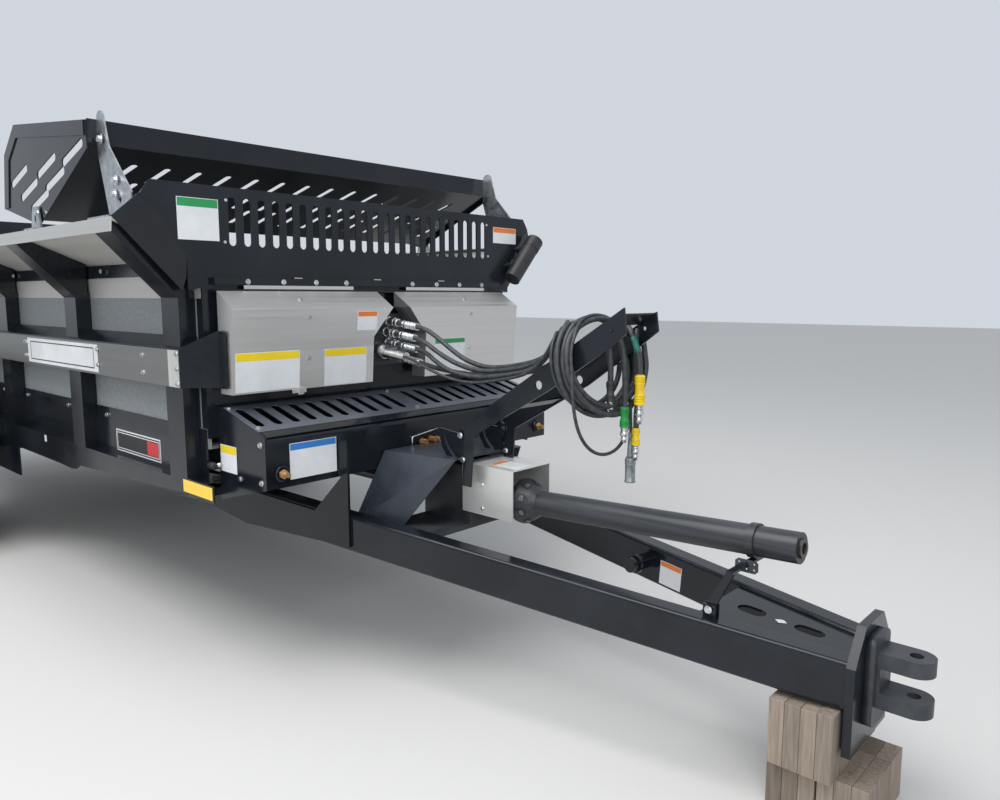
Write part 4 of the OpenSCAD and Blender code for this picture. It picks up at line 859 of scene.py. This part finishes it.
def apply_tree(name, cloud, tree, values, finish, body, slot):
    """Runs a tree on a cloud and keeps its result as a plain mesh that rides on a body."""
    source = add_object(name + "_cloud", cloud)
    modifier = source.modifiers.new("tree", "NODES")
    modifier.node_group = tree
    named = {item.name: item.identifier for item in tree.interface.items_tree
             if item.in_out == "INPUT"}
    for key, value in values.items():
        modifier[named[key]] = value
    modifier[named["Finish"]] = finish
    seen = source.evaluated_get(bpy.context.evaluated_depsgraph_get())
    mesh = bpy.data.meshes.new_from_object(seen)
    mesh.materials.clear()
    bpy.data.objects.remove(source)
    print(name, len(mesh.polygons), "faces")
    return keep_piece(name, mesh, [finish], body, slot)


def cloud_of(name, rows):
    """Vertices at machine places, each with the direction it looks in."""
    mesh = bpy.data.meshes.new(name)
    mesh.from_pydata([spot(*place) for place, look in rows], [], [])
    aim = mesh.attributes.new("aim", "FLOAT_VECTOR", "POINT")
    aim.data.foreach_set("vector", [c for place, look in rows for c in look])
    return mesh


def both(rows):
    """The same bolts on the other side of the machine too."""
    return rows + [((x, -y, z), (a, -b, c)) for (x, y, z), (a, b, c) in rows]


BOLTS = bolt_tree()


def add_bolts(name, rows, head, height, washer, finish=STEEL, body="root",
              slot="fitting_steel"):
    """A set of bolts, each a place and the direction it looks in; sizes in metres."""
    apply_tree(name, cloud_of(name, rows), BOLTS, {"Head radius": head,
               "Head height": height, "Washer radius": washer}, finish, body, slot)


# %% [markdown]
# The real bolts sit where sheets overlap: along the shelf, the panels, the stakes' band,
# the ledge over the covers and the grate's corners. Each row of a table below is one
# line of them, measured on the photograph, and the hidden side repeats the seen one.

# %% Bolts of the frame
OUT_RIGHT = (0, -1, 0)
GRATE_LOOK = (65, 0, 245)


def grate_z(x):
    """How high the sloping grate lies at a place ahead."""
    return 989.3 + (290 - x) * 65 / 245


shelf = [((x, -898, z), OUT_RIGHT) for x in (-370, -1772, -2394, -3406, -4100)
         for z in (1169, 1239)]
plate_screws = [((x, -899.5, z), OUT_RIGHT) for x in (-824, -1736) for z in (1172, 1240)]
strip_screws = [((-74, -899.2, z), OUT_RIGHT) for z in (1142, 1199, 1256)]
panels = [((x, -828, 930), OUT_RIGHT) for x in (-949, -1431, -2042, -2443, -3054, -3455)]
band = [((x, -836.3, 1580), OUT_RIGHT) for x in (-896, -2088, -2900, -3900)]
ledge = [((25, y, 1526), ALONG) for y in (-649, -492, -339, -187, 187, 339, 492, 649)]
corners = [((x, y, grate_z(x)), GRATE_LOOK) for x in (64, 268) for y in (-772, -8, 772)]
side_low = [((x, -785, z), OUT_RIGHT) for x, z in ((149, 793), (300, 800), (300, 940))]
add_bolts("bolts_small", both(shelf + strip_screws + panels + band + side_low)
          + plate_screws + ledge + corners, 0.008, 0.006, 0.011)
arms = [(place, OUT_RIGHT) for place in (
    (684, -158, 941), (697, -158, 847), (700, 78, 943), (706, 78, 850), (1750, -180, 545))]
shield = [((752, -109.3, z), OUT_RIGHT) for z in (748, 655)]
add_bolts("bolts_large", arms, 0.009, 0.007, 0.012)
add_bolts("bolts_shield", both(shield), 0.005, 0.003, 0.007)
for side, body in ((-1, "cover_right"), (1, "cover_left")):
    rows = [((cover_x(z), side * 455, z), (318, 0, -25)) for z in (1387, 1226)]
    rows.append(((90, side * 461, 1457), (67, 0, 111)))
    add_bolts("bolts_" + body, rows, 0.006, 0.004, 0.010, body=body)
# Wheel nuts: how many, on which radius, how far outwards
NUT_COUNT, NUT_R, NUT_OUT = 10, 84, 43
nut_angles = [2 * math.pi * (i + 0.5) / NUT_COUNT for i in range(NUT_COUNT)]
for side, body in ((-1, "wheel_right"), (1, "wheel_left")):
    rows = [((WHEEL_X + NUT_R * math.cos(a), side * (WHEEL_Y + NUT_OUT),
              WHEEL_Z + NUT_R * math.sin(a)), (0, side, 0)) for a in nut_angles]
    add_bolts("nuts_" + body, rows, 0.015, 0.018, 0.017, body=body)

# %% [markdown]
# The covers hang on long hinges. What shows of a hinge is a thin bright leaf above each
# cover, and two small tabs that stop the ledge's lid.

# %% Hinge leaves, tabs and latch
built = bmesh.new()
for side in (-1, 1):
    add_box(built, (24.2, side * 408, 1505), ACROSS, UP, (518, 14, 1.6))
for y in (-416, -8, 382):
    add_box(built, (12, y, 1540.2), ACROSS, (-1, 0, 0), (38, 9, 5), bevel=1.5)
add_box(built, (120.5, -500, 1098), ACROSS, UP, (64, 16, 4), bevel=1.0)
add_box(built, (120.5, -494, 1098), ACROSS, UP, (26, 30, 7), bevel=2.0)
keep_mesh("hinge_leaves", built, [COVER_STEEL], "root", "stainless")

# %% [markdown]
# The conveyor's take-up screws come through the housing's front: a black boss, a worn
# nut and a length of bare thread that has gone brown.

# %% Take-up screws
for side, name in ((-1, "right"), (1, "left")):
    built = bmesh.new()
    base = (330.3, side * 722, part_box("take_ups")[0].z * 1000 + 34)
    add_lathe(built, base, ALONG, [(0, 0), (30, 0), (30, 6), (27, 10), (22, 10), (20, 6),
                                   (0, 6)])
    add_lathe(built, base, ALONG, [(0, 6), (17, 6), (18, 7), (18, 19), (17, 20), (0, 20)],
              sides=6, index=1)
    add_lathe(built, base, ALONG, [(0, 20), (10, 20)] + crimp(10, 20, 44, 6, 1.0)
              + [(8, 45), (0, 45)], index=1)
    piece = keep_mesh("take_up_" + name, built, [BLACK, FINISHES["bare_bolts"]], "root",
                      "bare_bolts")
    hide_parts("take_ups")

# %% [markdown]
# A moulded canister for papers sits by the wall's left edge. Its screw cap has ribs to
# grip. The drive's cone guard has windows in a ring, which show the joint inside.

# %% Canister ribs and cone windows
RIBS, CAP_R, CAP_AT = 24, 44.6, 245
built = bmesh.new()
tilt = math.radians(42.4)
axis = Vector((0, math.sin(tilt), math.cos(tilt)))
cap = Vector((53, 850, 1560)) + axis * CAP_AT
for i in range(RIBS):
    angle = 2 * math.pi * i / RIBS
    out = Matrix.Rotation(-tilt, 3, "X") @ Vector((math.cos(angle), math.sin(angle), 0))
    add_box(built, cap + out * CAP_R, axis, axis.cross(out), (54, 5, 2.4), bevel=0.8)
keep_mesh("canister_ribs", built, [FINISHES["black_plastic"]], "root", "black_plastic")

CONE, CONE_AT, CONE_R, WINDOWS = Vector((870, 0, 687)), 45, 74.0, 8
# How much the cone's wall runs outwards and ahead
CONE_OUT, CONE_AHEAD = 50, 27
tilt = math.radians(2.5)
shaft = Vector((math.cos(tilt), 0, math.sin(tilt)))
sideways = Vector(ACROSS)
upright = shaft.cross(sideways) * -1
WINDOW = finish_of("window shade", (0.10, 0.10, 0.105), (0.30, 0.31, 0.32), (0.2, 0.4),
                   grain=60, metal=0.8)
built = bmesh.new()
for i in range(WINDOWS):
    angle = 2 * math.pi * (i + 0.5) / WINDOWS
    out = sideways * math.cos(angle) + upright * math.sin(angle)
    lean = (out * CONE_OUT + shaft * CONE_AHEAD).normalized()
    place = CONE + shaft * CONE_AT + out * CONE_R
    across = shaft.cross(out)
    for index, size in enumerate(((30, 24, 1.0), (20, 15, 1.6))):
        add_box(built, place, across, lean.cross(across), size, index, bevel=0.4)
keep_mesh("cone_windows", built, [FINISHES["black_plastic"], WINDOW], "pto_guard",
          "guard_plastic")

# %% [markdown]
# The conveyor's housing is closed by a sloping grate. Its long slots are cut right
# through, so light falls between them; a filled curve with holes makes such a sheet in
# one go. A folded lip joins its front edge to the housing's front.

# %% Grate over the conveyor
GRATE_L, GRATE_HALF, GRATE_DROP, GRATE_T = 253.5, 785.0, 65, 3.0
SLOT_W, SLOT_L, SLOT_PITCH, SLOT_FIRST, SLOT_AT, SLOT_COUNT = 35.0, 180.0, 76.0, 62.0, -4, 10
low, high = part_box("slotted_cover")
slope = (math.sqrt(GRATE_L ** 2 - GRATE_DROP ** 2), 0, -GRATE_DROP)
slots = [slot_ring(SLOT_AT, side * (SLOT_FIRST + i * SLOT_PITCH), SLOT_W, SLOT_L, math.pi / 2)
         for side in (-1, 1) for i in range(SLOT_COUNT)]
built = bmesh.new()
edge = [(-GRATE_L / 2, -GRATE_HALF), (GRATE_L / 2, -GRATE_HALF),
        (GRATE_L / 2, GRATE_HALF), (-GRATE_L / 2, GRATE_HALF)]
middle = Vector(((low.x + high.x) / 2 * 1000 - SHIFT, 0, (low.z + high.z) / 2 * 1000))
out = Vector(slope).normalized().cross(Vector(ACROSS))
add_plate(built, edge, slots, GRATE_T, middle - out * GRATE_T / 2, slope, ACROSS)
# Black enamel painted a lighter blue grey: a painted sheen of the sky on the grate's sloping
# top
GRATE_SHEEN = finish_of("black grate with painted sheen", (0.085, 0.095, 0.118), (0.125, 0.138, 0.165),
                        (0.26, 0.38), grain=4, metal=0.3,
                        bump=(0.05, 0.0002, 200))
grate = keep_mesh("grate", built, [GRATE_SHEEN], "root", "black_paint")
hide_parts("slotted_cover")

built = bmesh.new()
lip = [(289, 983), (326, 968), (327.5, 971), (289, 987)]
rings = [[built.verts.new(spot(x, y, z)) for x, z in lip] for y in (-776, 776)]
built.faces.new(rings[0])
built.faces.new(rings[1][::-1])
for k in range(len(lip)):
    built.faces.new((rings[0][k], rings[1][k], rings[1][k - 1], rings[0][k - 1]))
keep_mesh("grate_lip", built, [BLACK], "root", "black_paint")
print(len(slots), "slots in the grate")

# %% [markdown]
# Small things sit on the housing and beside the hood: a bent wire with worn nuts, a
# rubber-tipped handle on the housing's side, and the bolts of the hood's ears.

# %% Wire, handle and rusty nuts
def rod_line(name, points, radius, finish, slot):
    line = [spot(*p) for p in points]
    built = bmesh.new()
    add_sleeve(built, line, radius / 1000, sides=10)
    return keep_mesh(name, built, [finish], "root", slot)


wire = [(337, -100, 846), (337, -100, 862), (337, -100, 876), (337, -97, 883),
        (337, -88, 886), (337, -50, 891), (337, 0, 898), (337, 46, 904)]
rod_line("bent_wire", wire, 3.2, STEEL, "fitting_steel")
built = bmesh.new()
add_lathe(built, (10, -785.4, 828), OUT_RIGHT, [(0, 0), (10, 0), (10, 10), (7, 12), (7, 40),
          (0, 40)], index=1)
add_lathe(built, (10, -818, 828), (-1, 0, 0), [(0, -12), (12, -12), (14, -8), (14, 22),
          (11, 30), (0, 30)])
keep_mesh("side_handle", built, [FINISHES["black_plastic"], STEEL], "root", "black_plastic")

RUST = finish_of("rusty nuts", (0.16, 0.06, 0.025), (0.50, 0.28, 0.12), (0.5, 0.75),
                 grain=90, metal=0.5)
rows = [((330.5, y, z), ALONG) for y, z in ((-40, 858), (8, 863), (46, 857))]
add_bolts("rusty_nuts", rows, 0.012, 0.03, 0.014, finish=RUST, slot="bare_bolts")
ears = [((x, -1042.3, z), OUT_RIGHT) for x, z in ((-170, 1883), (-185, 1835), (-280, 2040))]
low_ears = [((-860, -1084.6, 1812), OUT_RIGHT)]
add_bolts("bolts_ears", both(ears + low_ears), 0.012, 0.01, 0.018)
rivets = [((0, y, z), ALONG) for y, z in ((-713, 1829), (-723, 1673))]
add_bolts("wall_rivets", both(rivets), 0.004, 0.003, 0.006)

# %% [markdown]
# A perforated strap sits at the top of the shaft's rest, under its saddle. It swings
# away with the rest. It is a flat plate with a table of small holes.

# %% Strap of the rest
STRAP = (1811.1, -62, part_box("pto_rest")[1].z * 1000 - 8)
built = bmesh.new()
holes = [slot_ring(x, z, 7, 7) for x in (-24, 0, 24) for z in (-9, 9)]
outline = [(-36, -12), (-28, -20), (28, -20), (36, -12), (36, 12), (28, 19), (-28, 19),
           (-36, 12)]
add_plate(built, outline, holes, 5, STRAP, ALONG, UP)
keep_mesh("rest_strap", built, [FINISHES["cast_clevis"]], "pto_rest", "black_paint")

# %% [markdown]
# Between the tongue's end plate and the fork there is a second, thicker plate with
# rounded corners, welded on. The fork's casting is bolted against it.

# %% Plate behind the fork
def round_rect(half_w, half_h, radius, steps=6):
    points = []
    for cx, cy, start in ((half_w, half_h, 0), (-half_w, half_h, 90), (-half_w, -half_h, 180),
                          (half_w, -half_h, 270)):
        for i in range(steps + 1):
            angle = math.radians(start + 90 * i / steps)
            points.append((cx - math.copysign(radius, cx) + radius * math.cos(angle),
                           cy - math.copysign(radius, cy) + radius * math.sin(angle)))
    return points


built = bmesh.new()
add_plate(built, round_rect(66, 130, 26), [], 24, (2165.2, -4, 415), ACROSS, UP)
keep_mesh("fork_plate", built, [FINISHES["cast_clevis"]], "root", "black_paint")

# %% [markdown]
# The hitch stands on timber: short planks on end, each a little different in height
# and shade. The planks are cut from the same block that the frame holds, so the pile
# keeps its size, and a fixed seed gives the same pile each time.

# %% Timber pile
# A plank's thickness and width, the gap beside it, how much it may be short
PLANK, PLANK_WIDE, PLANK_GAP, PLANK_SHORT = 46.0, 94, 0.8, 4
chance = np.random.default_rng(7)
built = bmesh.new()
shade = built.faces.layers.float.new("shade")
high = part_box("support_blocks")[1]
# Each row: first x, length, half width, foot, top
BLOCKS = [(1950, 180, 190, 150, high.z * 1000 - 15), (1935, 140, 150, 0, 150),
          (2080, 140, 150, 0, 150)]
for first, length, half, foot_z, top_z in BLOCKS:
    across = round(2 * half / PLANK_WIDE)
    along = round(length / PLANK)
    for i in range(along):
        for j in range(across):
            size = (length / along - PLANK_GAP, 2 * half / across - PLANK_GAP,
                    top_z - foot_z - (chance.uniform(0, PLANK_SHORT) if foot_z else 0))
            centre = (first + length * (i + 0.5) / along,
                      -half + 2 * half * (j + 0.5) / across, foot_z)
            known = set(built.faces)
            add_box(built, centre, ALONG, ACROSS, size, bevel=1.8)
            tone = chance.uniform(0.55, 1.0)
            for face in set(built.faces) - known:
                face[shade] = tone
pile = keep_mesh("timber_pile", built, [FINISHES["timber"]], "root", "timber")
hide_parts("support_blocks")
tree = FINISHES["timber"].node_tree
tone = tree.nodes.new("ShaderNodeAttribute")
tone.attribute_name = "shade"
mix = tree.nodes.new("ShaderNodeMix")
mix.data_type = "RGBA"
mix.blend_type = "MULTIPLY"
fill(tree, mix, _0=1.0, _6=tree.nodes["Color Ramp"].outputs["Color"], _7=tone.outputs["Fac"])
fill(tree, tree.nodes["Principled BSDF"], Base_Color=mix.outputs[2])
print("planks have their own shade")

# %% [markdown]
# The tyres are wide flotation tyres. The carcass is turned on the lathe with rounded
# shoulders and rings on its wall; the tread bars are copies of one bar, set round the
# wheel by Geometry Nodes in two rows that lean opposite ways.

# %% Tread tree
def tread_tree():
    tree, enter = new_tree("tread", [("Bar size", "Vector")])
    bar = add_node(tree, "GeometryNodeMeshCube", Size=enter["Bar size"])
    outwards = face_along(tree, "aim", "Z")
    copy_to_points(tree, enter, bar.outputs["Mesh"],
                   face_along(tree, "lie", "X", pivot="Z", Rotation=outwards))
    return tree


TREAD = tread_tree()

# %% [markdown]
# Each wheel then gets a carcass, its two rows of bars and a cap over the hub. The three
# ride on the wheel's body, so they turn with it.

# %% Tyres
CARCASS_R, BARS = 538.0, 22
# The bars: places across and from the axle, lean round the wheel
BAR_Y, BAR_R, BAR_LEAN = 86, 546, 0.45
# Half of the tyre's outline, from the tread's middle to the bead: radius, half width
HALF = [(CARCASS_R, 0), (CARCASS_R, 120), (532, 165), (512, 196), (480, 210), (440, 212),
        (436, 214), (430, 214), (426, 211), (380, 204), (340, 188), (312, 168), (298, 152)]
for side, body in ((-1, "wheel_right"), (1, "wheel_left")):
    outline = [(r, -y) for r, y in HALF[::-1]] + HALF[1:]
    outline = [(295.5, -150)] + outline + [(295.5, 150), (295.5, -150)]
    built = bmesh.new()
    add_lathe(built, (WHEEL_X, side * WHEEL_Y, WHEEL_Z), ACROSS, outline, sides=96)
    bmesh.ops.remove_doubles(built, verts=built.verts, dist=1e-5)
    carcass = keep_mesh("carcass_" + body, built, [FINISHES["tyre"]], body, "tyre")
    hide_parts(body + "_tyre")
    rows, lies = [], []
    for i in range(BARS):
        for hand in (-1, 1):
            angle = 2 * math.pi * (i + 0.25 * hand) / BARS
            out = Vector((math.cos(angle), 0, math.sin(angle)))
            place = Vector((WHEEL_X, side * WHEEL_Y + hand * BAR_Y, WHEEL_Z)) + out * BAR_R
            rows.append((tuple(place), tuple(out)))
            round_way = Vector((-math.sin(angle), 0, math.cos(angle)))
            lies.append(Vector((0, hand, 0)) + round_way * BAR_LEAN)
    cloud = cloud_of("tread_" + body, rows)
    lie = cloud.attributes.new("lie", "FLOAT_VECTOR", "POINT")
    lie.data.foreach_set("vector", [c for v in lies for c in v])
    apply_tree("tread_" + body, cloud, TREAD, {"Bar size": (0.176, 0.042, 0.022)},
               FINISHES["tyre"], body, "tyre")
    built = bmesh.new()
    add_lathe(built, (WHEEL_X, side * (WHEEL_Y + 40), WHEEL_Z), (0, side, 0),
              [(0, 0), (58, 0), (58, 26), (50, 36), (30, 40), (0, 41)])
    keep_mesh("hub_cap_" + body, built, [SHEEN_BLACK], body, "black_paint")
